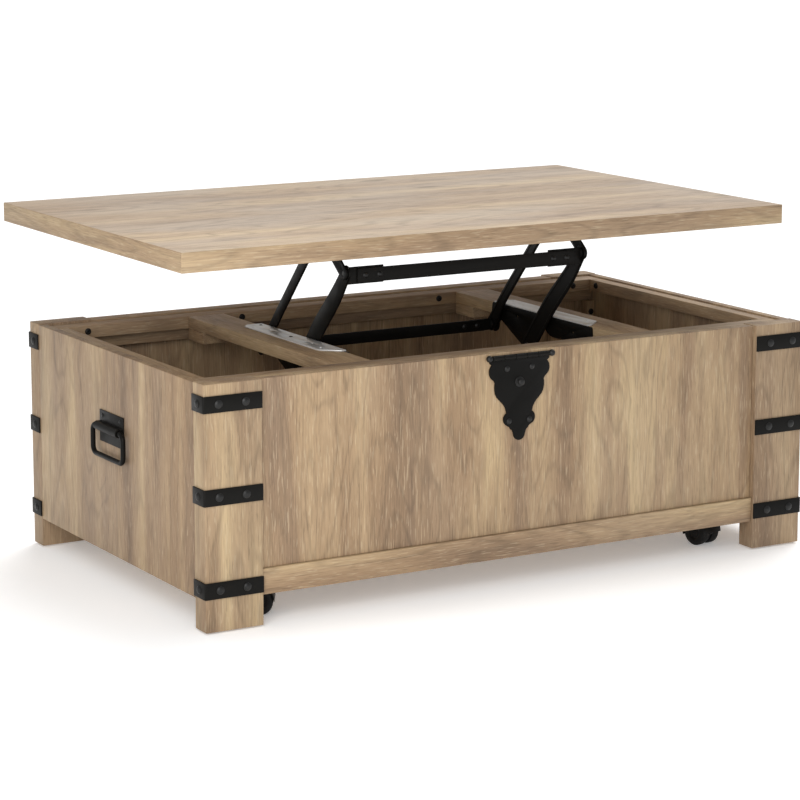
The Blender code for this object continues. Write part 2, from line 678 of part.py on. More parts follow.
# Casters
def make_caster(end, side):
    """A twin-wheel caster: a swivelling body with a hood, and two wheels on one axle."""
    turn = math.radians(CASTER_TURN[(end, side)])
    place = (SIDES[side] * CASTER_X, ENDS[end] * CASTER_Y, 0.0)
    swivel = new_empty(f"swivel_{end}_{side}", place, CHEST, turn)
    axle = new_empty(f"axle_{end}_{side}", (0.0, -CASTER_TRAIL, WHEEL_R), swivel)
    centre = (-CASTER_TRAIL, WHEEL_R)
    top = BOTTOM_Z - GAP
    hood_r = WHEEL_R + 0.0022
    outline = arc(centre, hood_r, 200, 0, 14) + arc(centre, hood_r - 0.002, 0, 200, 14)
    name = f"caster_body_{end}_{side}"
    width = 2 * (WHEEL_T + 0.006)
    body = new_object(name, plate_mesh(name, outline, width), (0, 0, 0), SIDEWAYS, swivel)
    middle_outline = arc(centre, hood_r - 0.0005, 0, 200, 12) + arc(centre, WHEEL_R - 0.004, 215, 345, 8)
    middle = plate_mesh("middle", middle_outline, 0.008)
    combine(body, new_object("middle", middle, (0, 0, 0), SIDEWAYS, swivel), "UNION")
    neck_low = WHEEL_R + 0.0055
    neck = cylinder_mesh("neck", 0.0095, top - neck_low, 16)
    combine(body, new_object("neck", neck, (0, 0, (top + neck_low) / 2), parent=swivel), "UNION")
    disc = cylinder_mesh("disc", 0.019, 0.004, 20)
    combine(body, new_object("disc", disc, (0, 0, top - 0.002), parent=swivel), "UNION")
    clear = cylinder_mesh("clear", WHEEL_R + 0.0006, WHEEL_T + 0.002, 24, "X")
    for sx in SIDES.values():
        x = sx * (0.004 + (WHEEL_T + 0.002) / 2)
        combine(body, new_object("clear", clear, (x, *centre), parent=swivel), "DIFFERENCE")
    bore = cylinder_mesh("bore", 0.0034, 0.05, 12, "X")
    combine(body, new_object("bore", bore, (0, *centre), parent=swivel), "DIFFERENCE")
    finish(body, NYLON)
    make_wheels(f"caster_wheels_{end}_{side}", axle)


def make_wheels(name, axle):
    """Both wheels and their axle, turned in one piece about the axle."""
    half_gap = 0.004 + 0.0008
    outer = half_gap + WHEEL_T
    profile = [
        (-outer, 0.0), (-outer, 0.013), (-outer + 0.002, 0.0150), (-outer, 0.0170), (-outer, WHEEL_R - 0.003),
        (-outer + 0.003, WHEEL_R), (-half_gap - 0.002, WHEEL_R), (-half_gap, WHEEL_R - 0.002), (-half_gap, 0.003),
    ]  # fmt: skip
    profile += [(-x, r) for x, r in profile[::-1]]
    bm = bmesh.new()
    verts = [bm.verts.new((r, 0.0, x)) for x, r in profile[::-1]]
    for a, b in zip(verts, verts[1:]):
        bm.edges.new((a, b))
    bmesh.ops.spin(
        bm, geom=bm.verts[:] + bm.edges[:], cent=(0, 0, 0), axis=(0, 0, 1), angle=2 * math.pi, steps=20, use_merge=True
    )
    bmesh.ops.remove_doubles(bm, verts=bm.verts, dist=1e-6)
    bmesh.ops.recalc_face_normals(bm, faces=bm.faces)
    wheels = new_object(name, mesh_from(bm, name), (0, 0, 0), (0, math.pi / 2, 0), axle)
    finish(wheels, NYLON, smooth=True)


make_posts()
make_walls()
make_top_frame()
make_battens()
make_bottom()
make_dividers()
make_lid()
make_front_arms()
make_rear_arms()
make_base_plates()
make_lid_brackets()
make_straps()
make_hasp()
make_handles()
for each_end in ENDS:
    for each_side in SIDES:
        make_caster(each_end, each_side)
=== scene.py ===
"""Lift-top trunk coffee table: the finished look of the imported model, piece by piece."""

import json
import math

import bmesh
import bpy
from mathutils import Matrix, Vector


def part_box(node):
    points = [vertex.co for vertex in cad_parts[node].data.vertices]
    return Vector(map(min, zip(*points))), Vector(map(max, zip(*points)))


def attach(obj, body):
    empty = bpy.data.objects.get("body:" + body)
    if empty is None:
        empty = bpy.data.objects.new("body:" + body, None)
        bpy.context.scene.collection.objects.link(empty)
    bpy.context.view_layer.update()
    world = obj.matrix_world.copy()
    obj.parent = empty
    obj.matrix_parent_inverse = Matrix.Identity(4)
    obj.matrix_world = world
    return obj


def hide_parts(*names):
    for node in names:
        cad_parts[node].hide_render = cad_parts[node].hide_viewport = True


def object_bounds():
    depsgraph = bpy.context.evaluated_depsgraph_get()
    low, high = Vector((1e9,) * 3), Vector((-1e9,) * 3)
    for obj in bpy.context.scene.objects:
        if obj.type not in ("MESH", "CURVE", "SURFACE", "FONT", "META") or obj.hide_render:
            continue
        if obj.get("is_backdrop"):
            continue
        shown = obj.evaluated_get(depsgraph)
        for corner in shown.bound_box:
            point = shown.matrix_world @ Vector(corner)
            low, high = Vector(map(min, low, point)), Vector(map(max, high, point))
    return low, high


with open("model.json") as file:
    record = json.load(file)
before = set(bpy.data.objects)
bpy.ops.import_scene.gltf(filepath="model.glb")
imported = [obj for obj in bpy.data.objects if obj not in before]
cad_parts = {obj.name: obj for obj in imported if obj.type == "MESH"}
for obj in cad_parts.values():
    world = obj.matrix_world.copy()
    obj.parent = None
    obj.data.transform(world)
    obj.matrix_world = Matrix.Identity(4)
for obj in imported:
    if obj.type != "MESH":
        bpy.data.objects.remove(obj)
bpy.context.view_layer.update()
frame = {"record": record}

# ---------------------------------------------------------------------------------------------
# The studio: a seamless white floor in an even white surround, a broad soft key light from high at
# the back right and a weaker one from the front left, so that soft shadows fall to the front left.
# ---------------------------------------------------------------------------------------------
scene = bpy.context.scene
scene.view_settings.view_transform = "Standard"


def linear(hex_colour):
    """An sRGB hex colour as linear RGBA."""
    channels = [int(hex_colour[i : i + 2], 16) / 255 for i in (1, 3, 5)]
    return tuple(c / 12.92 if c <= 0.04045 else ((c + 0.055) / 1.055) ** 2.4 for c in channels) + (1.0,)


def add_node(tree, kind, settings, inputs):
    """Adds a node, sets its properties, and sets or links its inputs. Stops set a colour ramp."""
    node = tree.nodes.new(kind)
    for name, value in settings.items():
        if name == "stops":
            ramp = node.color_ramp
            while len(ramp.elements) < len(value):
                ramp.elements.new(0.5)
            for element, (position, colour) in zip(ramp.elements, value):
                element.position = position
                element.color = colour
        else:
            setattr(node, name, value)
    for name, value in inputs.items():
        if isinstance(value, bpy.types.NodeSocket):
            tree.links.new(value, node.inputs[name])
        else:
            node.inputs[name].default_value = value
    return node


def new_material(name):
    """A material with an empty node tree and its output node."""
    material = bpy.data.materials.new(name)
    material.use_nodes = True
    tree = material.node_tree
    tree.nodes.clear()
    return material, tree, tree.nodes.new("ShaderNodeOutputMaterial")


FLOOR_SIZE = 600.0
FLOOR_GLOW = 0.22
SURROUND_STRENGTH = 0.53
BACKDROP_STRENGTH = 1.05
KEY_DIRECTION = Vector((0.55, 0.42, 1.0))
KEY_SPREAD = 38.0
KEY_STRENGTH = 1.75
SOFTBOX_SIZE = 1.2
SOFTBOX_WATTS = 24.0
SOFTBOX_PLACE = Vector((-1.6, -1.8, 1.1))
SOFTBOX_DIRECTION = Vector((-1.25, -1.55, 0.8))
LENS = 125.57
LENS_SHIFT = -0.0947
CAMERA_PLACE = Vector((-2.5214, -4.3047, 1.2534))
CAMERA_PITCH = 0.17
CAMERA_TURN = -0.529

bm = bmesh.new()
bmesh.ops.create_grid(bm, x_segments=1, y_segments=1, size=FLOOR_SIZE / 2)
floor_mesh = bpy.data.meshes.new("studio_floor")
bm.to_mesh(floor_mesh)
bm.free()
floor = bpy.data.objects.new("studio_floor", floor_mesh)
scene.collection.objects.link(floor)
paper, tree, output = new_material("matt_white_paper")
shader = add_node(
    tree,
    "ShaderNodeBsdfPrincipled",
    {},
    {
        "Base Color": linear("#ffffff"),
        "Roughness": 0.9,
        "Specular IOR Level": 0.0,
        "Emission Color": linear("#ffffff"),
        "Emission Strength": FLOOR_GLOW,
    },
)
tree.links.new(shader.outputs[0], output.inputs["Surface"])
floor_mesh.materials.append(paper)
floor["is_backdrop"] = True

world = bpy.data.worlds.new("white_surround")
scene.world = world
world.use_nodes = True
tree = world.node_tree
seen = add_node(tree, "ShaderNodeLightPath", {}, {})
brightness = add_node(
    tree,
    "ShaderNodeMapRange",
    {},
    {"Value": seen.outputs["Is Camera Ray"], "To Min": SURROUND_STRENGTH, "To Max": BACKDROP_STRENGTH},
)
background = tree.nodes["Background"]
background.inputs["Color"].default_value = linear("#ffffff")
tree.links.new(brightness.outputs[0], background.inputs["Strength"])


key = bpy.data.lights.new("key_light", "SUN")
key.angle = math.radians(KEY_SPREAD)
key.energy = KEY_STRENGTH
softbox = bpy.data.lights.new("front_softbox", "AREA")
softbox.shape = "SQUARE"
softbox.size = SOFTBOX_SIZE
softbox.energy = SOFTBOX_WATTS
for light, place, direction in (
    (key, Vector((0, 0, 0)), KEY_DIRECTION),
    (softbox, SOFTBOX_PLACE, SOFTBOX_DIRECTION),
):
    lamp = bpy.data.objects.new(light.name, light)
    lamp.location = place
    lamp.rotation_euler = direction.to_track_quat("Z", "Y").to_euler()
    scene.collection.objects.link(lamp)

camera_data = bpy.data.cameras.new("camera")
camera_data.lens = LENS
camera_data.shift_y = LENS_SHIFT
camera = bpy.data.objects.new("camera", camera_data)
camera.location = CAMERA_PLACE
camera.rotation_euler = (math.pi / 2 - CAMERA_PITCH, 0.0, CAMERA_TURN)
scene.collection.objects.link(camera)
scene.camera = camera

# ---------------------------------------------------------------------------------------------
# Posts: four uprights of foil-covered board, square cut, with the edges only just broken. The
# finish is a printed, lightly textured oak foil with its grain upright.
# ---------------------------------------------------------------------------------------------
MM = 0.001
GRAIN = {"X": Vector((1, 0, 0)), "Y": Vector((0, 1, 0)), "Z": Vector((0, 0, 1))}
ONE = Vector((1, 1, 1))
PLANK_WIDTH = 62 * MM
FIGURE_WIDTH = 105 * MM
FIBRE_WIDTH = 1.8 * MM
PORE_WIDTH = 2.0 * MM
KNOT_SPACING = 210 * MM
WEATHER_AND_SHEEN_WIDTH = 150 * MM
RINGS_PER_FIGURE = 17.0
EDGE_ROUND = 0.9 * MM


def oak_foil(name, grain, shift, tone=1.0, greying_and_sheen=0.25):
    """Weathered oak foil: soft pale and mid-brown bands along the grain, limed pores, a few knots, and grey
    patches, which a large greying share turns into painted sheen.

    The fibres are drawn a little coarser than real ones, so that they show at arm's length.
    """
    material, tree, output = new_material(name)
    place = add_node(tree, "ShaderNodeTexCoord", {}, {})
    along = GRAIN[grain]
    value = {}
    # Every pattern is drawn out along the grain by its own ratio.
    for key, kind, ratio, size, settings in (
        ("bands", "ShaderNodeTexNoise", 0.09, PLANK_WIDTH, {"Detail": 2.0, "Distortion": 0.35}),
        ("figure", "ShaderNodeTexNoise", 0.16, FIGURE_WIDTH, {"Detail": 2.0, "Distortion": 0.8}),
        ("fibre", "ShaderNodeTexNoise", 0.04, FIBRE_WIDTH, {"Detail": 2.0, "Distortion": 0.2}),
        ("pores", "ShaderNodeTexNoise", 0.07, PORE_WIDTH, {"Detail": 1.0, "Distortion": 0.4}),
        ("weather_and_sheen", "ShaderNodeTexNoise", 0.30, WEATHER_AND_SHEEN_WIDTH, {"Detail": 2.0}),
        ("knots", "ShaderNodeTexVoronoi", 0.45, KNOT_SPACING, {}),
    ):
        drawn_out = add_node(
            tree,
            "ShaderNodeMapping",
            {},
            {"Vector": place.outputs["Object"], "Location": shift, "Scale": ONE - along * (1 - ratio)},
        )
        texture = add_node(tree, kind, {}, {"Vector": drawn_out.outputs[0], "Scale": 1 / size, **settings})
        value[key] = texture.outputs[0]
    # The rings wander with the figure and close in round the knots.
    for key, operation, first, second in (
        ("pull", "MULTIPLY", "knots", 0.5),
        ("bent", "ADD", "figure", "pull"),
        ("spread", "MULTIPLY", "bent", RINGS_PER_FIGURE),
        ("rings", "PINGPONG", "spread", 1.0),
    ):
        numbers = {0: value[first], 1: value.get(second, second)}
        value[key] = add_node(tree, "ShaderNodeMath", {"operation": operation}, numbers).outputs[0]
    for key, source, low, high, to_low, to_high in (
        ("ring_shade", "rings", 0.0, 0.45, 0.84, 1.01),
        ("fibre_shade", "fibre", 0.3, 0.7, 0.89, 1.07),
        ("pore_shade", "pores", 0.30, 0.41, 0.80, 1.0),
        ("knot_shade", "knots", 0.015, 0.10, 0.66, 1.0),
        ("lime", "pores", 0.60, 0.68, 0.0, 0.30),
        # Grey patches: weathering on most boards, and painted sheen where the greying share is large, as on
        # the lid top.
        ("grey", "weather_and_sheen", 0.36, 0.68, greying_and_sheen * 0.55, greying_and_sheen),
        ("roughness", "fibre", 0.3, 0.7, 0.66, 0.5),
    ):
        value[key] = add_node(
            tree,
            "ShaderNodeMapRange",
            {"interpolation_type": "SMOOTHSTEP"},
            {"Value": value[source], "From Min": low, "From Max": high, "To Min": to_low, "To Max": to_high},
        ).outputs[0]
    shade = value["ring_shade"]
    for key in ("fibre_shade", "pore_shade", "knot_shade"):
        factors = {0: shade, 1: value[key]}
        shade = add_node(tree, "ShaderNodeMath", {"operation": "MULTIPLY"}, factors).outputs[0]
    toned = add_node(tree, "ShaderNodeMath", {"operation": "MULTIPLY"}, {0: shade, 1: tone}).outputs[0]
    stops = [
        (0.30, linear("#826649")),
        (0.43, linear("#997b59")),
        (0.55, linear("#ac8f6a")),
        (0.72, linear("#c6ab80")),
    ]
    colour = add_node(tree, "ShaderNodeValToRGB", {"stops": stops}, {"Fac": value["bands"]}).outputs[0]
    for blend, factor, other in (
        ("MIX", value["lime"], linear("#d8c5a4")),
        ("MIX", value["grey"], linear("#ac9e8f")),
        ("MULTIPLY", 1.0, toned),
    ):
        settings = {"data_type": "RGBA", "blend_type": blend}
        colour = add_node(tree, "ShaderNodeMix", settings, {0: factor, 6: colour, 7: other}).outputs[2]
    bump = add_node(tree, "ShaderNodeBump", {}, {"Strength": 0.3, "Distance": 0.2 * MM, "Height": shade})
    shader = add_node(
        tree,
        "ShaderNodeBsdfPrincipled",
        {},
        {"Base Color": colour, "Roughness": value["roughness"], "Normal": bump.outputs[0], "IOR": 1.46},
    )
    tree.links.new(shader.outputs[0], output.inputs["Surface"])
    return material


def make_piece(name, bm, material, body, node=None, smooth_angle=30):
    """Turns a bmesh into a finished piece that rides on a body and stands in for a CAD node."""
    bmesh.ops.recalc_face_normals(bm, faces=bm.faces)
    mesh = bpy.data.meshes.new(name)
    bm.to_mesh(mesh)
    bm.free()
    mesh.materials.append(material)
    mesh.shade_smooth()
    mesh.set_sharp_from_angle(angle=math.radians(smooth_angle))
    piece = bpy.data.objects.new(name, mesh)
    scene.collection.objects.link(piece)
    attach(piece, body)
    if node:
        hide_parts(node)
    return piece


def break_edges(bm, edges, width, segments=2):
    """Rounds over the given edges of a bmesh."""
    bmesh.ops.bevel(
        bm, geom=edges, offset=width, segments=segments, profile=0.5, affect="EDGES", material=-1
    )


def board_mesh(corner, opposite, edge=EDGE_ROUND, segments=3):
    """A board between two opposite corners, with its edges rounded over."""
    bm = bmesh.new()
    bmesh.ops.create_cube(bm, size=1.0)
    size = [abs(b - a) for a, b in zip(corner, opposite)]
    bmesh.ops.scale(bm, vec=size, verts=bm.verts)
    bmesh.ops.translate(bm, vec=(Vector(corner) + Vector(opposite)) / 2, verts=bm.verts)
    break_edges(bm, bm.edges[:], edge, segments)
    return bm


def wooden_board(name, node, corner, opposite, grain, shift, tone=0.95, body="chest"):
    """One board of foil-covered wood, with its own stretch of the printed grain."""
    material = oak_foil(f"oak_foil_{name}", grain, Vector(shift), tone)
    return make_piece(name, board_mesh(corner, opposite), material, body, node)


def out_and_in(low, high, sign):
    """The two ends of a stretch, first the one further out on the side that the sign gives."""
    return (high, low) if sign > 0 else (low, high)


ENDS = {"front": -1, "back": 1}
SIDES = {"left": -1, "right": 1}

for end, end_sign in ENDS.items():
    for side, side_sign in SIDES.items():
        node = f"post_{end}_{side}"
        low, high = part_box(node)
        shift = (end_sign * 1.7, side_sign * 2.3, side_sign * 0.31)
        wooden_board(f"{node}_board", node, low, high, "Z", shift, tone=0.87)

# ---------------------------------------------------------------------------------------------
# Walls: 16 mm boards let in between the posts. The front and back ones have a capping strip
# glued along the inside of the top edge, and stand on a rail that runs proud of them.
# ---------------------------------------------------------------------------------------------
GLUE_SEAM = 0.3 * MM
PANEL_THICKNESS = 16 * MM
CAP_LOW_Z = 360 * MM

for side, sign in SIDES.items():
    node = f"side_panel_{side}"
    low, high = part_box(node)
    wooden_board(f"{node}_board", node, low, high, "Z", (3.1, 0.23 * sign, 0.4), tone=0.92)
for end, sign in ENDS.items():
    node = f"{end}_panel"
    low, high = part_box(node)
    outer, inner = out_and_in(low.y, high.y, sign)
    seam = outer - sign * PANEL_THICKNESS
    panel_shift = (0.87 + 0.3 * sign, 5.2, 0.15)
    wooden_board(
        f"{node}_board", node, (low.x, outer, low.z), (high.x, seam, high.z), "Z", panel_shift
    )
    cap_corner = (low.x, seam - sign * GLUE_SEAM, CAP_LOW_Z)
    wooden_board(
        f"{node}_cap", node, cap_corner, (high.x, inner, high.z), "X", (0.4, 2.2, 1.7), tone=0.87
    )
    node = f"{end}_lower_rail"
    low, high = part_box(node)
    wooden_board(f"{node}_board", node, low, high, "X", (1.3 * sign, 0.9, 0.66), tone=0.96)

# ---------------------------------------------------------------------------------------------
# The frame inside the mouth: 22 mm rails laid flat, with a thinner ledger screwed below the
# front and back ones, and upright battens in the corners down to the bottom board.
# ---------------------------------------------------------------------------------------------
RAIL_THICKNESS = 22 * MM
LEDGER_DEPTH = 11.7 * MM

for end, sign in ENDS.items():
    node = f"{end}_top_rail"
    low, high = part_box(node)
    outer = out_and_in(low.y, high.y, sign)[0]
    split = high.z - RAIL_THICKNESS
    rail_shift = (0.2, 1.9 * sign, 2.6)
    wooden_board(f"{node}_board", node, (low.x, low.y, split), high, "X", rail_shift, tone=0.92)
    ledger_corner = (high.x, outer - sign * LEDGER_DEPTH, split - GLUE_SEAM)
    ledger_shift = (0.9, 1.1 * sign, 0.6)
    wooden_board(
        f"{node}_ledger", node, (low.x, outer, low.z), ledger_corner, "X", ledger_shift, tone=0.90
    )
for side, sign in SIDES.items():
    node = f"side_top_rail_{side}"
    low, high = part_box(node)
    wooden_board(f"{node}_board", node, low, high, "Y", (0.7 * sign, 0.3, 1.2), tone=0.92)
for end in ENDS:
    for side, sign in SIDES.items():
        node = f"corner_batten_{end}_{side}"
        low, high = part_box(node)
        wooden_board(f"{node}_strip", node, low, high, "Z", (sign, 0.5, 0.2), tone=0.88)

# ---------------------------------------------------------------------------------------------
# Dividers and bottom: a board across the mouth on each side, on blocks glued under its ends,
# and the bottom board of the chest with the same foil, its grain lengthwise.
# ---------------------------------------------------------------------------------------------
REST_BLOCK_LENGTH = 62 * MM

for side, sign in SIDES.items():
    node = f"divider_board_{side}"
    low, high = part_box(node)
    split = high.z - RAIL_THICKNESS
    board_shift = (0.33 * sign, 1.4, 0.9)
    wooden_board(f"{node}_top", node, (low.x, low.y, split), high, "Y", board_shift, tone=0.96)
    for end, end_sign in ENDS.items():
        outer = out_and_in(low.y, high.y, end_sign)[0]
        block_corner = (high.x, outer - end_sign * REST_BLOCK_LENGTH, split - GLUE_SEAM)
        block_shift = (0.5, 0.2 * end_sign, sign)
        name = f"rest_block_{end}_{side}"
        wooden_board(name, node, (low.x, outer, low.z), block_corner, "Y", block_shift)
low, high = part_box("bottom_panel")
wooden_board("bottom_board", "bottom_panel", low, high, "X", (0.1, 0.6, 2.2))

# ---------------------------------------------------------------------------------------------
# Lid: one thick board, 34 mm, with the foil's grain lengthwise and a banded edge all round.
# Its top is painted paler and greyer than its edges, as painted sheen. It sits over the posts when it is
# down.
# ---------------------------------------------------------------------------------------------
low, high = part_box("lid")
lid = wooden_board("lid_board", "lid", low, high, "X", (0.6, 0.35, 3.3), tone=0.92, body="lid")
# The top's foil is drawn brighter and greyer than the edges: painted sheen of light across the lid top.
lid_top_painted_sheen = oak_foil("oak_foil_lid_top", "X", Vector((2.4, 1.15, 0.3)), tone=1.25, greying_and_sheen=0.78)
lid_ends = oak_foil("oak_foil_lid_ends", "Y", Vector((1.7, 0.55, 2.1)), tone=0.9)
lid.data.materials.append(lid_top_painted_sheen)
lid.data.materials.append(lid_ends)
for face in lid.data.polygons:
    if face.normal.z > 0.9:
        face.material_index = 1
    elif abs(face.normal.x) > 0.9:
        face.material_index = 2

# ---------------------------------------------------------------------------------------------
# Corner straps: 2.5 mm steel strip bent round each post's corner at three heights, powder
# coated matt black, and held by low round-headed rivets, two on the face and one on the side.
# ---------------------------------------------------------------------------------------------
STRAP_THICKNESS = 2.5 * MM
STRAP_BEND = 3.0 * MM
STRAP_EDGE = 0.5 * MM
STRAP_LEVELS = (1, 2, 3)
SEAT_GAP = 0.3 * MM
RIVET_RADIUS = 7.0 * MM
RIVET_HEIGHT = 3.0 * MM
RIVET_SHARES = (0.24, 0.71)
POWDER_GRIT = 0.9 * MM
POWDER_CLOUD = 35 * MM


def powder_coat(name, base, edge_paling, gloss):
    """Matt black powder coat on steel, faintly pebbled, slightly paler in patches along its sharpest edges.
    """
    material, tree, output = new_material(name)
    place = add_node(tree, "ShaderNodeTexCoord", {}, {}).outputs["Object"]
    edges = add_node(tree, "ShaderNodeNewGeometry", {}, {}).outputs["Pointiness"]
    pebble, cloud = (
        add_node(
            tree, "ShaderNodeTexNoise", {}, {"Vector": place, "Scale": 1 / size, "Detail": detail}
        ).outputs["Fac"]
        for size, detail in ((POWDER_GRIT, 2.0), (POWDER_CLOUD, 3.0))
    )
    # Along the sharpest edges, in cloudy patches, the black is mixed towards a paler grey.
    pale_edge_mask, roughness = (
        add_node(
            tree,
            "ShaderNodeMapRange",
            {},
            {"Value": source, "From Min": low, "From Max": high, "To Min": to_low, "To Max": to_high},
        ).outputs[0]
        for source, low, high, to_low, to_high in (
            (edges, 0.53, 0.62, 0.0, edge_paling),
            (cloud, 0.3, 0.7, 0.38, 0.52),
        )
    )
    pale_edge_patches = add_node(tree, "ShaderNodeMath", {"operation": "MULTIPLY"}, {0: pale_edge_mask, 1: cloud})
    colours = {0: pale_edge_patches.outputs[0], 6: linear(base), 7: linear("#4a4743")}
    colour = add_node(tree, "ShaderNodeMix", {"data_type": "RGBA"}, colours)
    grit = {"Strength": 0.25, "Distance": 0.05 * MM, "Height": pebble}
    bump = add_node(tree, "ShaderNodeBump", {}, grit)
    shader = add_node(
        tree,
        "ShaderNodeBsdfPrincipled",
        {},
        {
            "Base Color": colour.outputs[2],
            "Roughness": roughness,
            "Normal": bump.outputs[0],
            "IOR": 1.5,
            "Specular IOR Level": gloss,
        },
    )
    tree.links.new(shader.outputs[0], output.inputs["Surface"])
    return material


black_iron = powder_coat("black_powder_coat", "#0c0b09", 0.2, 0.11)
rivet_black = powder_coat("rubbed_black_rivet", "#080807", 0.3, 0.42)


def steel_piece(name, bm, material, body, node, smooth_angle=30):
    """A finished piece of black painted steel."""
    make_piece(name, bm, material, body, node, smooth_angle)


def facing(direction):
    """A rotation that turns +Z to a direction."""
    return Vector(direction).to_track_quat("Z", "Y").to_matrix().to_4x4()


def turned(bm, profile, matrix, steps=24):
    """Adds a turned solid to a bmesh, from a profile of (radius, height) about the matrix's Z."""
    before = set(bm.verts)
    verts = [bm.verts.new((radius, 0.0, height)) for radius, height in profile]
    edges = [bm.edges.new(pair) for pair in zip(verts, verts[1:])]
    bmesh.ops.spin(
        bm,
        geom=verts + edges,
        cent=(0, 0, 0),
        axis=(0, 0, 1),
        angle=2 * math.pi,
        steps=steps,
        use_merge=True,
    )
    made = [vert for vert in bm.verts if vert not in before]
    bmesh.ops.transform(bm, matrix=matrix, verts=made)
    bmesh.ops.remove_doubles(bm, verts=made, dist=1e-6)


def sharp_edges(bm, angle):
    """The edges of a bmesh where two faces meet more sharply than an angle in degrees."""
    return [
        edge
        for edge in bm.edges
        if len(edge.link_faces) == 2 and edge.calc_face_angle(0) > math.radians(angle)
    ]


def rivets(bm, places, direction, radius=RIVET_RADIUS, height=RIVET_HEIGHT):
    """Low domed heads with a flat rim, on a surface that faces a direction."""
    profile = [
        (0.0, height),
        (radius * 0.32, height * 0.97),
        (radius * 0.58, height * 0.82),
        (radius * 0.78, height * 0.55),
        (radius * 0.90, height * 0.30),
        (radius, height * 0.22),
        (radius, -SEAT_GAP),
        (0.0, -SEAT_GAP),
    ]
    for place in places:
        turned(bm, profile, Matrix.Translation(place) @ facing(direction))


def bent_strip(face_end, corner, side_end, low_z, high_z):
    """A strip of steel bent round an upright corner, between two ends given as (x, y)."""
    face_way = (face_end - corner).normalized()
    side_way = (side_end - corner).normalized()
    centre = corner + (face_way + side_way) * STRAP_BEND
    bend = [math.pi / 2 * i / 4 for i in range(5)]
    round_the_bend = [
        centre - (side_way * math.cos(turn) + face_way * math.sin(turn)) * STRAP_BEND for turn in bend
    ]
    bm = bmesh.new()
    path = [bm.verts.new((p.x, p.y, low_z)) for p in [face_end] + round_the_bend + [side_end]]
    spine = [bm.edges.new(pair) for pair in zip(path, path[1:])]
    raised = bmesh.ops.extrude_edge_only(bm, edges=spine)["geom"]
    raised_verts = [v for v in raised if isinstance(v, bmesh.types.BMVert)]
    bmesh.ops.translate(bm, vec=(0, 0, high_z - low_z), verts=raised_verts)
    outward = Vector((-side_way.x, -side_way.y, 0))
    for strip_face in bm.faces:
        strip_face.normal_update()
    front = max(bm.faces, key=lambda f: f.normal.dot(outward) ** 2)
    if front.normal.dot(outward) < 0:
        bmesh.ops.reverse_faces(bm, faces=bm.faces[:])
    bmesh.ops.solidify(bm, geom=bm.faces[:], thickness=STRAP_THICKNESS)
    bmesh.ops.recalc_face_normals(bm, faces=bm.faces)
    break_edges(bm, sharp_edges(bm, 60), STRAP_EDGE)
    return bm


for end, end_sign in ENDS.items():
    for side, side_sign in SIDES.items():
        post_low, post_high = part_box(f"post_{end}_{side}")
        face_y, back_y = out_and_in(post_low.y, post_high.y, end_sign)
        face_x, inner_x = out_and_in(post_low.x, post_high.x, side_sign)
        out_x = face_x + side_sign * (SEAT_GAP + STRAP_THICKNESS)
        out_y = face_y + end_sign * (SEAT_GAP + STRAP_THICKNESS)
        width = abs(inner_x - face_x)
        for level in STRAP_LEVELS:
            node = f"strap_{end}_{side}_{level}"
            low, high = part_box(node)
            face_end = Vector((inner_x, out_y))
            side_end = Vector((out_x, back_y))
            bm = bent_strip(face_end, Vector((out_x, out_y)), side_end, low.z, high.z)
            steel_piece(f"{node}_strip", bm, black_iron, "chest", node)
            middle = (low.z + high.z) / 2
            heads = [Vector((face_x - side_sign * width * s, out_y, middle)) for s in RIVET_SHARES]
            bm = bmesh.new()
            rivets(bm, heads, (0, end_sign, 0))
            rivets(bm, [Vector((out_x, (face_y + back_y) / 2, middle))], (side_sign, 0, 0))
            steel_piece(f"{node}_rivets", bm, rivet_black, "chest", node, 40)

# ---------------------------------------------------------------------------------------------
# Hasp: a scalloped plate cut from 2.5 mm steel and coated black, riveted to the front, with a
# turned knob at its middle. Its top edge is rolled into knuckles round a pin with ball ends.
# ---------------------------------------------------------------------------------------------
HASP_THICKNESS = 2.5 * MM
HASP_KNUCKLE_RADIUS = 4.6 * MM
HASP_KNUCKLES = 5
KNUCKLE_GAP = 0.8 * MM
HASP_RIVETS = ((0.025, 0.3810), (-0.025, 0.3810), (0.0205, 0.2900), (-0.0205, 0.2900))
HASP_RIVET_RADIUS = 5.0 * MM
HASP_RIVET_HEIGHT = 2.4 * MM
KNOB_Z = 0.3568
PIN_RADIUS = 2.2 * MM
UPRIGHT = Matrix.Rotation(math.pi / 2, 4, "X")


def arc(centre, radius, start, end, steps):
    """Points on an arc in a plane, angles in degrees."""
    angles = [math.radians(start + (end - start) * i / steps) for i in range(steps + 1)]
    middle = Vector(centre[:2])
    return [middle + Vector((math.cos(angle), math.sin(angle))) * radius for angle in angles]


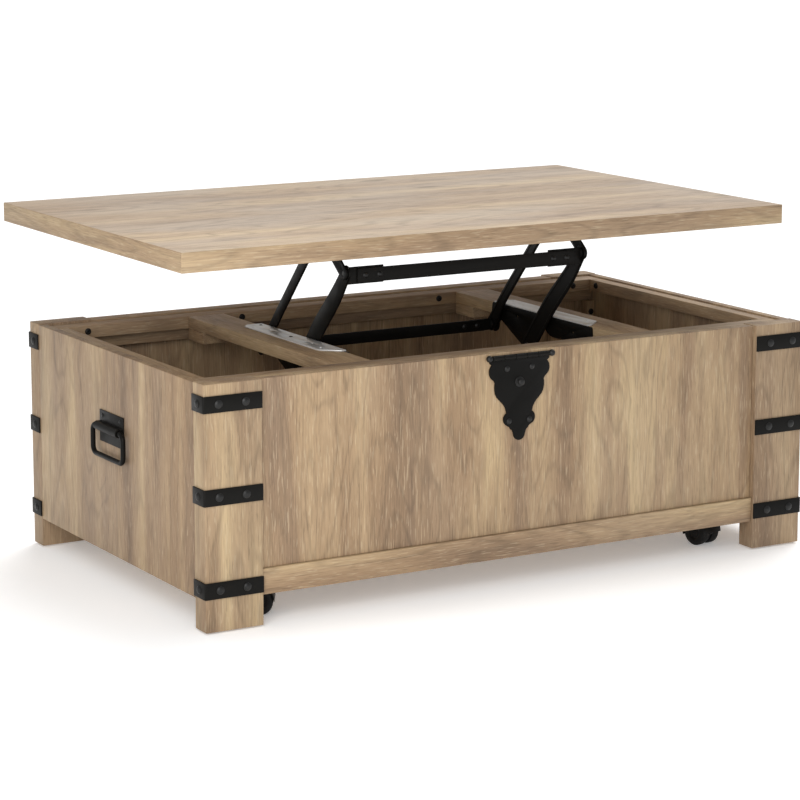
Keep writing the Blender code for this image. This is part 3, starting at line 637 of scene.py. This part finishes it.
def plate(outline, thickness, matrix, edge, holes=()):
    """A flat plate from an outline in the XY plane of a matrix, with broken edges and round holes."""
    bm = bmesh.new()
    loops = [list(outline)] + [arc((x, y), radius, 0, 345, 23) for x, y, radius in holes]
    edges = []
    for loop in loops:
        verts = [bm.verts.new((p[0], p[1], -thickness / 2)) for p in loop]
        edges += [bm.edges.new((a, b)) for a, b in zip(verts, verts[1:] + verts[:1])]
    if holes:
        bmesh.ops.triangle_fill(bm, use_beauty=True, use_dissolve=False, edges=edges)
        bmesh.ops.dissolve_limit(bm, angle_limit=0.01, verts=bm.verts[:], edges=bm.edges[:])
    else:
        bm.faces.new([e.verts[0] for e in edges])
    raised = bmesh.ops.extrude_face_region(bm, geom=bm.faces[:])["geom"]
    raised_verts = [v for v in raised if isinstance(v, bmesh.types.BMVert)]
    bmesh.ops.translate(bm, vec=(0, 0, thickness), verts=raised_verts)
    bmesh.ops.recalc_face_normals(bm, faces=bm.faces)
    rims = [e for e in sharp_edges(bm, 80) if abs(e.verts[0].co.z - e.verts[1].co.z) < 1e-7]
    break_edges(bm, rims, edge)
    bmesh.ops.transform(bm, matrix=matrix, verts=bm.verts)
    return bm


def tube_profile(bore, radius, length, edge):
    """The closed profile of a short tube about its middle, with its outer edges taken off."""
    half = length / 2
    outer = [(radius - edge, half), (radius, half - edge), (radius, edge - half), (radius - edge, -half)]
    return [(bore, half)] + outer + [(bore, -half), (bore, half)]


low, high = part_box("hasp_plate")
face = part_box("front_panel")[0].y - SEAT_GAP
half = [Vector((0.0610, 0.3972)), Vector((0.0596, 0.3920))]
half += arc((0.0440, 0.3775), 0.0168, 45, -62, 12)
lower_edge = [
    (0.0492, 0.3580), (0.0498, 0.3530), (0.0498, 0.3461), (0.0482, 0.3385), (0.0448, 0.3325),
    (0.0398, 0.3272), (0.0345, 0.3222), (0.0304, 0.3170), (0.0276, 0.3115), (0.0262, 0.3060),
]  # fmt: skip
half += [Vector(p) for p in lower_edge]
half += arc((0.0200, 0.2935), 0.0120, 62, -52, 11)
neck = [(0.0236, 0.2815), (0.0196, 0.2796), (0.0178, 0.2762), (0.0142, 0.2735), (0.0124, 0.2695)]
half += [Vector(p) for p in neck]
half += arc((0.0, 0.2670), 0.0115, -6, -90, 8)
outline = half + [Vector((-p.x, p.y)) for p in half[-2::-1]]
seat = Matrix.Translation((0, face - HASP_THICKNESS / 2, 0)) @ UPRIGHT
bm = plate(outline, HASP_THICKNESS, seat, 0.6 * MM)
steel_piece("hasp_scallop", bm, black_iron, "chest", "hasp_plate")
surface = face - HASP_THICKNESS
places = [Vector((x, surface, z)) for x, z in HASP_RIVETS]
bm = bmesh.new()
rivets(bm, places, (0, -1, 0), HASP_RIVET_RADIUS, HASP_RIVET_HEIGHT)
steel_piece("hasp_rivets", bm, rivet_black, "chest", "hasp_plate", 40)
knob_profile = [
    (0.0, 9.0), (3.2, 8.8), (5.4, 7.8), (6.4, 6.2), (6.2, 4.8), (4.6, 3.6),
    (3.6, 2.6), (4.4, 1.8), (8.2, 1.3), (8.8, 0.6), (8.8, -0.2), (0.0, -0.2),
]  # fmt: skip
knob_seat = Matrix.Translation((0, surface, KNOB_Z)) @ facing((0, -1, 0))
bm = bmesh.new()
turned(bm, [(r * MM, z * MM) for r, z in knob_profile], knob_seat, 32)
steel_piece("hasp_knob", bm, rivet_black, "chest", "hasp_plate", 40)
low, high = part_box("hasp_pin")
pin_middle = (low + high) / 2
ball = (high.z - low.z) / 2
pin_half = (high.x - low.x) / 2
ball_angles = [math.radians(angle) for angle in range(0, 160, 15)]
pin_profile = [(ball * math.sin(a), pin_half - ball + ball * math.cos(a)) for a in ball_angles]
pin_profile += [(PIN_RADIUS, pin_half - 2 * ball), (PIN_RADIUS, 0.0)]
pin_profile += [(r, -z) for r, z in pin_profile[-2::-1]]
bm = bmesh.new()
turned(bm, pin_profile, Matrix.Translation(pin_middle) @ facing((1, 0, 0)))
steel_piece("hasp_pin_turned", bm, rivet_black, "chest", "hasp_pin", 40)
span = 2 * (pin_half - 2 * ball)
knuckle_length = span / HASP_KNUCKLES - KNUCKLE_GAP
knuckle = tube_profile(PIN_RADIUS + 0.1 * MM, HASP_KNUCKLE_RADIUS, knuckle_length, 0.6 * MM)
bm = bmesh.new()
for i in range(HASP_KNUCKLES):
    x = -span / 2 + (i + 0.5) * span / HASP_KNUCKLES
    turned(bm, knuckle, Matrix.Translation((x, pin_middle.y, pin_middle.z)) @ facing((1, 0, 0)), 20)
steel_piece("hasp_knuckles", bm, black_iron, "chest", "hasp_plate", 40)

# ---------------------------------------------------------------------------------------------
# Side handles: a steel plate screwed to the side, its lower part rolled into a barrel, and a
# drop bail of round bar bent to a rounded rectangle that hangs in it. All powder coated black.
# ---------------------------------------------------------------------------------------------
joints = {joint["name"]: joint for joint in frame["record"]["behaviour"]["joints"]}
HANDLE_PLATE = 2.0 * MM
HANDLE_SCREW_RADIUS = 4.0 * MM
BARREL_RADIUS = 7.5 * MM
BARREL_BORE = 5.2 * MM
BARREL_INSET = 6 * MM
BAIL_BAR_RADIUS = 4.4 * MM
BAIL_INSET = 4.5 * MM
BAIL_CORNER = 12 * MM

for side, sign in SIDES.items():
    node = f"handle_plate_{side}"
    low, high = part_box(node)
    wall = out_and_in(low.x, high.x, sign)[1]
    plate_face = wall + sign * HANDLE_PLATE
    pivot = Vector(joints[f"bail_swing_{side}"]["pos_m"])
    bm = board_mesh((wall, low.y, low.z), (plate_face, high.y, high.z), 0.7 * MM, 2)
    steel_piece(f"{node}_flat", bm, black_iron, "chest", node)
    length = high.y - low.y - BARREL_INSET
    barrel = tube_profile(BARREL_BORE, BARREL_RADIUS, length, 0.7 * MM)
    bm = bmesh.new()
    turned(bm, barrel, Matrix.Translation(pivot) @ facing((0, 1, 0)), 32)
    strip_start = wall + sign * 0.5 * MM
    for z_sign in (-1, 1):
        strip_z = pivot.z + z_sign * (BARREL_RADIUS - 1.2 * MM)
        strip = bmesh.ops.create_cube(bm, size=1.0)["verts"]
        bmesh.ops.scale(bm, vec=(abs(pivot.x - strip_start), length, 2 * MM), verts=strip)
        bmesh.ops.translate(bm, vec=((strip_start + pivot.x) / 2, pivot.y, strip_z), verts=strip)
    steel_piece(f"{node}_barrel", bm, black_iron, "chest", node, 40)
    screw_z = high.z - 9 * MM
    places = [Vector((plate_face, y, screw_z)) for y in (low.y + 12 * MM, high.y - 12 * MM)]
    bm = bmesh.new()
    rivets(bm, places, (sign, 0, 0), HANDLE_SCREW_RADIUS, 1.8 * MM)
    steel_piece(f"{node}_screws", bm, rivet_black, "chest", node, 40)
    node = f"bail_{side}"
    low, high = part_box(node)
    half_y = (high.y - low.y) / 2 - BAIL_INSET
    drop = high.z - low.z - 2 * BAIL_INSET
    ring = []
    for y, z, start in ((half_y, 0, 0), (-half_y, 0, 90), (-half_y, -drop, 180), (half_y, -drop, 270)):
        centre = (y - math.copysign(BAIL_CORNER, y), z - BAIL_CORNER if z == 0 else z + BAIL_CORNER)
        ring += arc(centre, BAIL_CORNER, start, start + 90, 10)
    curve = bpy.data.curves.new(f"{node}_guide", "CURVE")
    curve.dimensions = "3D"
    curve.bevel_depth = BAIL_BAR_RADIUS
    curve.bevel_resolution = 4
    spline = curve.splines.new("POLY")
    spline.points.add(len(ring) - 1)
    for point, at in zip(spline.points, ring):
        point.co = (pivot.x, pivot.y + at.x, pivot.z + at.y, 1.0)
    spline.use_cyclic_u = True
    guide = bpy.data.objects.new(f"{node}_guide", curve)
    scene.collection.objects.link(guide)
    evaluated = guide.evaluated_get(bpy.context.evaluated_depsgraph_get())
    bent = bpy.data.meshes.new_from_object(evaluated)
    bpy.data.objects.remove(guide, do_unlink=True)
    bm = bmesh.new()
    bm.from_mesh(bent)
    steel_piece(f"{node}_bar", bm, black_iron, node, node, 50)

# ---------------------------------------------------------------------------------------------
# Lift base plates: pressed angles, the web against the divider board's inner face coated black,
# the flange on its top left bright zinc, with screws through it into the board.
# ---------------------------------------------------------------------------------------------
CHEST_Y = joints["bail_swing_left"]["pos_m"][1]
WEB_THICKNESS = 3.0 * MM
FLANGE_FRONT = -0.182
FLANGE_REAR = 0.128
FLANGE_THICKNESS = 2.5 * MM
FLANGE_SCREW_RADIUS = 3.0 * MM
ZINC_GRAIN = 1.6 * MM
ZINC_CLOUD = 18 * MM
SIDEWAYS = Matrix.Rotation(math.pi / 2, 4, "Z") @ Matrix.Rotation(math.pi / 2, 4, "X")


def zinc_plate(name):
    """Bright zinc plating: a cool grey metal, finely brushed by the rolls, slightly clouded."""
    material, tree, output = new_material(name)
    place = add_node(tree, "ShaderNodeTexCoord", {}, {}).outputs["Object"]
    brushing = {"Vector": place, "Scale": Vector((1.0, 0.06, 1.0))}
    drawn = add_node(tree, "ShaderNodeMapping", {}, brushing).outputs[0]
    brushed, cloud = (
        add_node(
            tree, "ShaderNodeTexNoise", {}, {"Vector": vector, "Scale": 1 / size, "Detail": detail}
        ).outputs["Fac"]
        for vector, size, detail in ((drawn, ZINC_GRAIN, 3.0), (place, ZINC_CLOUD, 2.0))
    )
    colours = {0: cloud, 6: linear("#d6d8d8"), 7: linear("#eceeee")}
    colour = add_node(tree, "ShaderNodeMix", {"data_type": "RGBA"}, colours).outputs[2]
    limits = {"Value": brushed, "From Min": 0.3, "From Max": 0.7, "To Min": 0.30, "To Max": 0.46}
    roughness = add_node(tree, "ShaderNodeMapRange", {}, limits).outputs[0]
    settings = {"Base Color": colour, "Roughness": roughness, "Metallic": 0.6}
    shader = add_node(tree, "ShaderNodeBsdfPrincipled", {}, settings)
    tree.links.new(shader.outputs[0], output.inputs["Surface"])
    return material


bright_zinc = zinc_plate("bright_zinc_plating")
front_pivot = Vector(joints["lid_lift"]["pos_m"])
rear_pivot = Vector(joints["rear_arm_pivot"]["pos_m"])
top_pivot = Vector(joints["lid_pivot"]["pos_m"])
reach = top_pivot - front_pivot
rear_top = rear_pivot + reach

for side, sign in SIDES.items():
    node = f"base_plate_{side}"
    low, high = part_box(node)
    outer, inner = out_and_in(low.x, high.x, sign)
    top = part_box(f"divider_board_{side}")[1].z + SEAT_GAP
    front_place = (front_pivot.y - CHEST_Y, front_pivot.z)
    rear_place = (rear_pivot.y - CHEST_Y, rear_pivot.z)
    web = [(0.133, top), (-0.193, top), (-0.196, top - 0.003), (-0.197, 0.3870), (-0.195, 0.3790)]
    web += [(-0.190, 0.3740), (-0.180, 0.3720), (-0.076, 0.3690), (-0.062, 0.3705)]
    web += [(-0.054, 0.3745), (-0.047, 0.3790), (-0.040, 0.3806), (-0.033, 0.3790), (-0.025, 0.3720)]
    web += arc(front_place, 0.0173, 180, 315, 14)
    web += [(0.1030, 0.3755), (0.1090, 0.3752)]
    web += arc(rear_place, 0.0148, 170, 372, 18)
    web += [(0.1385, 0.3850), (0.1360, top - 0.004)]
    seat = Matrix.Translation((inner + sign * WEB_THICKNESS / 2, CHEST_Y, 0)) @ SIDEWAYS
    holes = [(-0.135, 0.388, 2.6 * MM), (0.050, 0.391, 2.6 * MM)]
    bm = plate(web, WEB_THICKNESS, seat, 0.4 * MM, holes)
    steel_piece(f"{node}_web", bm, black_iron, "chest", node)
    near = abs(inner)
    far = abs(outer)
    flange = [(near, FLANGE_FRONT), (near + 0.009, FLANGE_FRONT), (far - 0.002, FLANGE_FRONT + 0.025)]
    flange += [(far, FLANGE_FRONT + 0.029), (far, FLANGE_REAR - 0.010), (far - 0.010, FLANGE_REAR)]
    flange += [(near, FLANGE_REAR)]
    screw_holes = [(near + 0.028, y, FLANGE_SCREW_RADIUS) for y in (0.108, -0.143)]
    spare_holes = [(near + 0.019, y, 2.0 * MM) for y in (0.058, -0.096)]
    mirrored = Matrix.Diagonal((sign, 1, 1, 1))
    flat = Matrix.Translation((0, CHEST_Y, top + FLANGE_THICKNESS / 2)) @ mirrored
    bm = plate(flange, FLANGE_THICKNESS, flat, 0.4 * MM, screw_holes + spare_holes)
    make_piece(f"{node}_flange", bm, bright_zinc, "chest", node)
    sunk = [(x, y, 0.7 * MM, radius - 0.2 * MM, 1.0 * MM) for x, y, radius in screw_holes]
    proud_z = FLANGE_THICKNESS - 0.2 * MM
    proud = [(near + 0.020, -0.020, proud_z, 3.6 * MM, 1.1 * MM)]
    proud += [(near + 0.010, 0.112, proud_z, 3.2 * MM, 1.1 * MM)]
    bm = bmesh.new()
    for x, y, z, radius, height in sunk + proud:
        rivets(bm, [Vector((sign * x, CHEST_Y + y, top + z))], (0, 0, 1), radius, height)
    steel_piece(f"{node}_screws", bm, rivet_black, "chest", node, 40)

# ---------------------------------------------------------------------------------------------
# Lift arms: flat steel bars with round ends and a shallow pressed rib, coated black. The front
# pair is wider, and slightly cranked. A tab on each carries a flat crossbar on two bolts.
# ---------------------------------------------------------------------------------------------
ARM_PLATE = 4.0 * MM
ARM_INNER_X = 237.5 * MM
ARM_EDGE = 0.9 * MM
RIB_MARGIN = 4.2 * MM
RIB_SLOPE = 0.8 * MM
RIB_DEPTH = 0.7 * MM
STUD_START_X = ARM_INNER_X - 2.4 * MM
STUD_ENDS_X = (249.7 * MM, 245.5 * MM)
TAB_OUTER_X = ARM_INNER_X + 2.0 * MM
TAB_THICKNESS = 3.0 * MM
BAR_EDGE = 0.8 * MM
BAR_BOLT_INSETS = (0.016, 0.044)


def along_arm(base, distance, offset):
    """A point in the plane of the arms, so far up the arm and so far in front of it."""
    up = Vector((reach.y, reach.z)).normalized()
    front_way = Vector((-up.y, up.x))
    return base + up * distance + front_way * offset


def bar_outline(points, half_widths, steps=14):
    """The outline of a flat bar with round ends, along a centre line."""
    left = []
    right = []
    last = len(points) - 1
    for i, (point, half_width) in enumerate(zip(points, half_widths)):
        tangent = (points[min(i + 1, last)] - points[max(i - 1, 0)]).normalized()
        across = Vector((-tangent.y, tangent.x)) * half_width
        left.append(point + across)
        right.append(point - across)
    first = (points[1] - points[0]).normalized()
    final = (points[last] - points[last - 1]).normalized()
    start = math.degrees(math.atan2(first.y, first.x))
    finish = math.degrees(math.atan2(final.y, final.x))
    tail = arc(points[0], half_widths[0], start + 90, start + 270, steps)
    head = arc(points[last], half_widths[last], finish - 90, finish + 90, steps)
    return tail + right[1:-1] + head + left[-2:0:-1]


def smooth_line(points, steps=6):
    """Extra points along a centre line, on a Catmull-Rom curve through the given ones."""
    padded = [points[0] * 2 - points[1]] + points + [points[-1] * 2 - points[-2]]
    line = []
    for i in range(1, len(padded) - 2):
        a, b, c, d = padded[i - 1 : i + 3]
        for k in range(steps):
            t = k / steps
            squared = (2 * a - 5 * b + 4 * c - d) * t**2
            cubed = (3 * b - a - 3 * c + d) * t**3
            line.append(0.5 * ((2 * b) + (c - a) * t + squared + cubed))
    return line + [points[-1]]


def widths_along(widths, steps=6):
    """Extra half widths, evenly between the given ones, to go with a smooth line's points."""
    line = []
    for a, b in zip(widths, widths[1:]):
        line += [a + (b - a) * k / steps for k in range(steps)]
    return line + [widths[-1]]


def pivot_stud(bm, x_from, x_to, at, sign, head_radius=7.5 * MM):
    """A shouldered stud: a domed head inboard, a washer, and the shank outwards."""
    length = abs(x_to - x_from)
    head = 3.2 * MM
    shank = 4.0 * MM
    rim = head - 0.2 * MM
    profile = [(0.0, 0.0), (head_radius * 0.45, 0.1 * MM), (head_radius * 0.8, 0.7 * MM)]
    profile += [(head_radius, 1.6 * MM), (head_radius, rim), (shank, rim), (shank, length), (0.0, length)]
    turned(bm, profile, Matrix.Translation((x_from, at[0], at[1])) @ facing((sign, 0, 0)), 24)


def build_arm(kind, side, body, base, centre_line, widths, tab_low, tab_high):
    """An arm, its studs, and its crossbar tab."""
    sign = SIDES[side]
    node = f"{kind}_arm_{side}"
    foot = Vector((base.y, base.z))
    head = Vector((base.y + reach.y, base.z + reach.z))
    line = smooth_line([along_arm(foot, distance, offset) for distance, offset in centre_line])
    seat = Matrix.Translation((sign * (ARM_INNER_X + ARM_PLATE / 2), 0, 0)) @ SIDEWAYS
    bm = plate(bar_outline(line, widths_along(widths)), ARM_PLATE, seat, ARM_EDGE)
    face_side = [f for f in bm.faces if f.normal.x * sign < -0.99 and f.calc_area() > 1e-4]
    bmesh.ops.inset_region(bm, faces=face_side, thickness=RIB_MARGIN, depth=0.0)
    bmesh.ops.inset_region(bm, faces=face_side, thickness=RIB_SLOPE, depth=-RIB_DEPTH)
    steel_piece(f"{node}_bar", bm, black_iron, body, node)
    bm = bmesh.new()
    for at, stud_end in zip((foot, head), STUD_ENDS_X):
        pivot_stud(bm, sign * STUD_START_X, sign * stud_end, at, sign)
    steel_piece(f"{node}_studs", bm, rivet_black, body, node, 40)
    corner = (sign * tab_low[0], tab_low[1], tab_low[2])
    opposite = (sign * tab_high[0], tab_high[1], tab_high[2])
    steel_piece(f"{node}_tab", board_mesh(corner, opposite, BAR_EDGE, 2), black_iron, body, node)


# Each pair: its base pivot, then the centre line as (distance up the arm, offset to the front),
# the half widths along it, its crossbar, and where its tab starts and how far it stands past.
for kind, base, centre_line, widths, bar, tab_x, tab_below, tab_above in (
    (
        "front",
        front_pivot,
        ((0.0, 0.0), (0.110, -0.003), (0.200, 0.002), (0.260, 0.0)),
        (0.0185, 0.0185, 0.0170, 0.0135),
        "upper_crossbar",
        0.168,
        2 * MM,
        3 * MM,
    ),
    (
        "rear",
        rear_pivot,
        ((0.0, 0.0), (0.070, -0.004), (0.170, -0.002), (0.260, 0.0)),
        (0.0130, 0.0105, 0.0105, 0.0105),
        "lower_crossbar",
        0.190,
        0.0,
        0.0,
    ),
):
    body = f"{kind}_arms"
    low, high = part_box(bar)
    tab_y = high.y + SEAT_GAP
    tab_low = (tab_x, tab_y, low.z - tab_below)
    tab_high = (TAB_OUTER_X, tab_y + TAB_THICKNESS, high.z + tab_above)
    for side in SIDES:
        build_arm(kind, side, body, base, centre_line, widths, tab_low, tab_high)
    steel_piece(f"{bar}_flat", board_mesh(low, high, BAR_EDGE, 2), black_iron, body, bar)
    level = (low.z + high.z) / 2
    insets = [(sign, inset) for sign in (-1, 1) for inset in BAR_BOLT_INSETS]
    places = [Vector((sign * (high.x - inset), low.y, level)) for sign, inset in insets]
    bm = bmesh.new()
    rivets(bm, places, (0, -1, 0), 5.2 * MM, 2.6 * MM)
    steel_piece(f"{bar}_bolts", bm, rivet_black, body, bar, 40)

# ---------------------------------------------------------------------------------------------
# Lid brackets: pressed steel angles screwed under the lid, with an ear at each arm's top pivot,
# coated black like the arms.
# ---------------------------------------------------------------------------------------------
BRACKET_THICKNESS = 3.0 * MM
BRACKET_INNER_X = 242.5 * MM
EAR_RADIUS = 11.8 * MM
EAR_HOLE = 4.4 * MM
FOOT_THICKNESS = 2.5 * MM
FOOT_START = 40 * MM

for side, sign in SIDES.items():
    node = f"lid_bracket_{side}"
    low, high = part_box(node)
    front_y, front_z = top_pivot.y, top_pivot.z
    rear_y, rear_z = rear_top.y, rear_top.z
    top = high.z
    end_y = high.y
    outline = [(end_y, top), (end_y, top - 0.007), (end_y - 0.003, top - 0.010)]
    outline += [(rear_y + 0.020, top - 0.012)]
    outline += arc((rear_y, rear_z), EAR_RADIUS, 20, -160, 16)
    outline += [(front_y + 0.078, top - 0.011), (front_y + 0.062, top - 0.013)]
    outline += [(front_y + 0.045, top - 0.021)]
    outline += arc((front_y, front_z), EAR_RADIUS, -50, -230, 16)
    outline += [(front_y + 0.018, top - 0.012), (front_y + 0.030, top - 0.004), (front_y + 0.038, top)]
    seat = Matrix.Translation((sign * (BRACKET_INNER_X + BRACKET_THICKNESS / 2), 0, 0)) @ SIDEWAYS
    holes = [(front_y, front_z, EAR_HOLE), (rear_y, rear_z, EAR_HOLE)]
    bm = plate(outline, BRACKET_THICKNESS, seat, 0.4 * MM, holes)
    steel_piece(f"{node}_ears", bm, black_iron, "lid", node)
    foot_x = out_and_in(low.x, high.x, sign)[1]
    web_x = sign * (BRACKET_INNER_X + BRACKET_THICKNESS)
    foot_y = front_y + FOOT_START
    foot_z = top - FOOT_THICKNESS
    bm = board_mesh((foot_x, foot_y, foot_z), (web_x, end_y, top), 0.6 * MM, 2)
    steel_piece(f"{node}_foot", bm, black_iron, "lid", node)
    screw_x = (foot_x + web_x) / 2 - sign * 2 * MM
    places = [Vector((screw_x, foot_y + (end_y - foot_y) * share, foot_z)) for share in (0.10, 0.5, 0.90)]
    bm = bmesh.new()
    rivets(bm, places, (0, 0, -1), 4.2 * MM, 2.0 * MM)
    steel_piece(f"{node}_screws", bm, rivet_black, "lid", node, 40)

# ---------------------------------------------------------------------------------------------
# Connecting bolts: black round-headed bolts with a hexagon socket, where the rails and battens
# are drawn together inside the chest.
# ---------------------------------------------------------------------------------------------
BOLT_PROFILE = (
    (0.0, 0.6), (2.2, 0.6), (2.2, 2.6), (3.2, 2.9), (4.6, 2.5), (5.6, 1.6), (6.0, 0.5), (6.0, -0.3),
    (0.0, -0.3),
)  # fmt: skip
BOLT_DEPTH = 10 * MM
BOLT_RAIL_X = (0.212, 0.521)
BOLT_SIDE_Y = 0.250
BOLT_BATTEN_Z = 0.338

bolt_seats = []
for end, end_sign in ENDS.items():
    low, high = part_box(f"{end}_top_rail")
    inner = out_and_in(low.y, high.y, end_sign)[1]
    inward = (0, -end_sign, 0)
    for x in BOLT_RAIL_X:
        for sign in (-1, 1):
            bolt_seats.append((Vector((sign * x, inner, high.z - BOLT_DEPTH)), inward))
    for side, sign in SIDES.items():
        low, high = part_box(f"corner_batten_{end}_{side}")
        inner = out_and_in(low.y, high.y, end_sign)[1]
        bolt_seats.append((Vector(((low.x + high.x) / 2, inner, BOLT_BATTEN_Z)), inward))
        low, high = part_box(f"side_top_rail_{side}")
        inner = out_and_in(low.x, high.x, sign)[1]
        at = Vector((inner, CHEST_Y + end_sign * BOLT_SIDE_Y, high.z - BOLT_DEPTH))
        bolt_seats.append((at, (-sign, 0, 0)))
bolt = [(r * MM, z * MM) for r, z in BOLT_PROFILE]
bm = bmesh.new()
for at, direction in bolt_seats:
    turned(bm, bolt, Matrix.Translation(at) @ facing(direction), 20)
steel_piece("connecting_bolts", bm, rivet_black, "chest", None, 40)

# ---------------------------------------------------------------------------------------------
# Casters: twin black nylon wheels on one axle under a moulded hood, with a web between them. The
# hood swivels on a short stem with a round flange against the bottom board.
# ---------------------------------------------------------------------------------------------
WHEEL_RADIUS = 24.5 * MM
WHEEL_WIDTH = 17 * MM
WHEEL_GAP = 4.8 * MM
HOOD_RADIUS = WHEEL_RADIUS + 2.2 * MM
HOOD_WALL = 1.5 * MM
HOOD_HALF_WIDTH = WHEEL_WIDTH + 5.4 * MM
HOOD_ANGLE = 198
MIDDLE_THICKNESS = 7.6 * MM
STEM_DEPTH = 20 * MM
MOULD_GRAIN = 0.8 * MM
SCUFF_SIZE = 12 * MM


def moulded_nylon(name, base, shine):
    """Injection-moulded black nylon: a soft sheen over a very fine spark-eroded grain."""
    material, tree, output = new_material(name)
    place = add_node(tree, "ShaderNodeTexCoord", {}, {}).outputs["Object"]
    grain, scuffs = (
        add_node(
            tree, "ShaderNodeTexNoise", {}, {"Vector": place, "Scale": 1 / size, "Detail": detail}
        ).outputs["Fac"]
        for size, detail in ((MOULD_GRAIN, 1.0), (SCUFF_SIZE, 4.0))
    )
    colours = {0: scuffs, 6: linear(base), 7: linear("#121111")}
    colour = add_node(tree, "ShaderNodeMix", {"data_type": "RGBA"}, colours).outputs[2]
    limits = {"Value": scuffs, "From Min": 0.3, "From Max": 0.7, "To Min": shine, "To Max": shine + 0.18}
    roughness = add_node(tree, "ShaderNodeMapRange", {}, limits).outputs[0]
    relief = {"Strength": 0.15, "Distance": 0.05 * MM, "Height": grain}
    bump = add_node(tree, "ShaderNodeBump", {}, relief).outputs[0]
    settings = {"Base Color": colour, "Roughness": roughness, "Normal": bump, "IOR": 1.53}
    settings["Specular IOR Level"] = 0.2
    shader = add_node(tree, "ShaderNodeBsdfPrincipled", {}, settings)
    tree.links.new(shader.outputs[0], output.inputs["Surface"])
    return material


hood_nylon = moulded_nylon("moulded_black_nylon", "#0c0c0c", 0.36)
tread_nylon = moulded_nylon("black_nylon_tread", "#121212", 0.48)
outside = WHEEL_GAP + WHEEL_WIDTH
wheel_half = [
    (0.0, outside - 1.2 * MM), (3.0 * MM, outside - 0.8 * MM), (4.0 * MM, outside - 2.0 * MM),
    (11.0 * MM, outside - 2.4 * MM), (13.0 * MM, outside - 0.6 * MM), (17.0 * MM, outside),
    (21.0 * MM, outside - 0.4 * MM), (23.2 * MM, outside - 1.6 * MM), (WHEEL_RADIUS, outside - 3.6 * MM),
    (WHEEL_RADIUS, WHEEL_GAP + 3.4 * MM), (23.4 * MM, WHEEL_GAP + 1.4 * MM), (22.0 * MM, WHEEL_GAP),
    (5.0 * MM, WHEEL_GAP), (3.0 * MM, WHEEL_GAP - 0.4 * MM), (3.0 * MM, 0.0),
]  # fmt: skip
wheel_profile = wheel_half + [(radius, -x) for radius, x in wheel_half[-2::-1]]
disc = arc((0.0, 0.0), HOOD_RADIUS - 0.5 * MM, 0, HOOD_ANGLE - 1, 32)
disc += arc((0.0, 0.0), WHEEL_RADIUS - 4 * MM, 214, 346, 18)
hood_section = [
    (-HOOD_HALF_WIDTH, HOOD_RADIUS - HOOD_WALL), (HOOD_HALF_WIDTH, HOOD_RADIUS - HOOD_WALL),
    (HOOD_HALF_WIDTH, HOOD_RADIUS), (-HOOD_HALF_WIDTH, HOOD_RADIUS),
]  # fmt: skip

for end in ENDS:
    for side in SIDES:
        roll = joints[f"caster_roll_{end}_{side}"]
        swivel = Vector(joints[f"caster_swivel_{end}_{side}"]["pos_m"])
        axle = Vector(roll["pos_m"])
        turn = math.atan2(roll["axis"][1], roll["axis"][0])
        seat = Matrix.Translation(axle) @ Matrix.Rotation(turn, 4, "Z")
        node = f"caster_wheels_{end}_{side}"
        bm = bmesh.new()
        turned(bm, wheel_profile, seat @ facing((1, 0, 0)), 48)
        make_piece(f"{node}_turned", bm, tread_nylon, node, node, 35)
        node = f"caster_body_{end}_{side}"
        bm = bmesh.new()
        start = bm.faces.new([bm.verts.new((x, radius, 0.0)) for x, radius in hood_section])
        bmesh.ops.spin(
            bm,
            geom=[start] + bm.edges[:] + bm.verts[:],
            cent=(0, 0, 0),
            axis=(1, 0, 0),
            angle=math.radians(HOOD_ANGLE),
            steps=32,
            use_merge=False,
        )
        bmesh.ops.recalc_face_normals(bm, faces=bm.faces)
        break_edges(bm, sharp_edges(bm, 60), 0.4 * MM)
        bmesh.ops.transform(bm, matrix=seat, verts=bm.verts)
        make_piece(f"{node}_hood", bm, hood_nylon, node, node, 35)
        bm = plate(disc, MIDDLE_THICKNESS, seat @ SIDEWAYS, 0.6 * MM)
        make_piece(f"{node}_middle", bm, hood_nylon, node, node, 35)
        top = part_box(node)[1].z
        stem_low = axle.z + STEM_DEPTH
        stem = [
            (0.0, top), (18.0 * MM, top), (19.0 * MM, top - 1.0 * MM), (19.0 * MM, top - 2.6 * MM),
            (17.6 * MM, top - 3.8 * MM), (11.5 * MM, top - 4.2 * MM), (9.6 * MM, top - 5.6 * MM),
            (9.2 * MM, stem_low), (0.0, stem_low),
        ]  # fmt: skip
        bm = bmesh.new()
        turned(bm, stem, Matrix.Translation((swivel.x, swivel.y, 0)), 36)
        make_piece(f"{node}_stem", bm, hood_nylon, node, node, 35)

low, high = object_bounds()
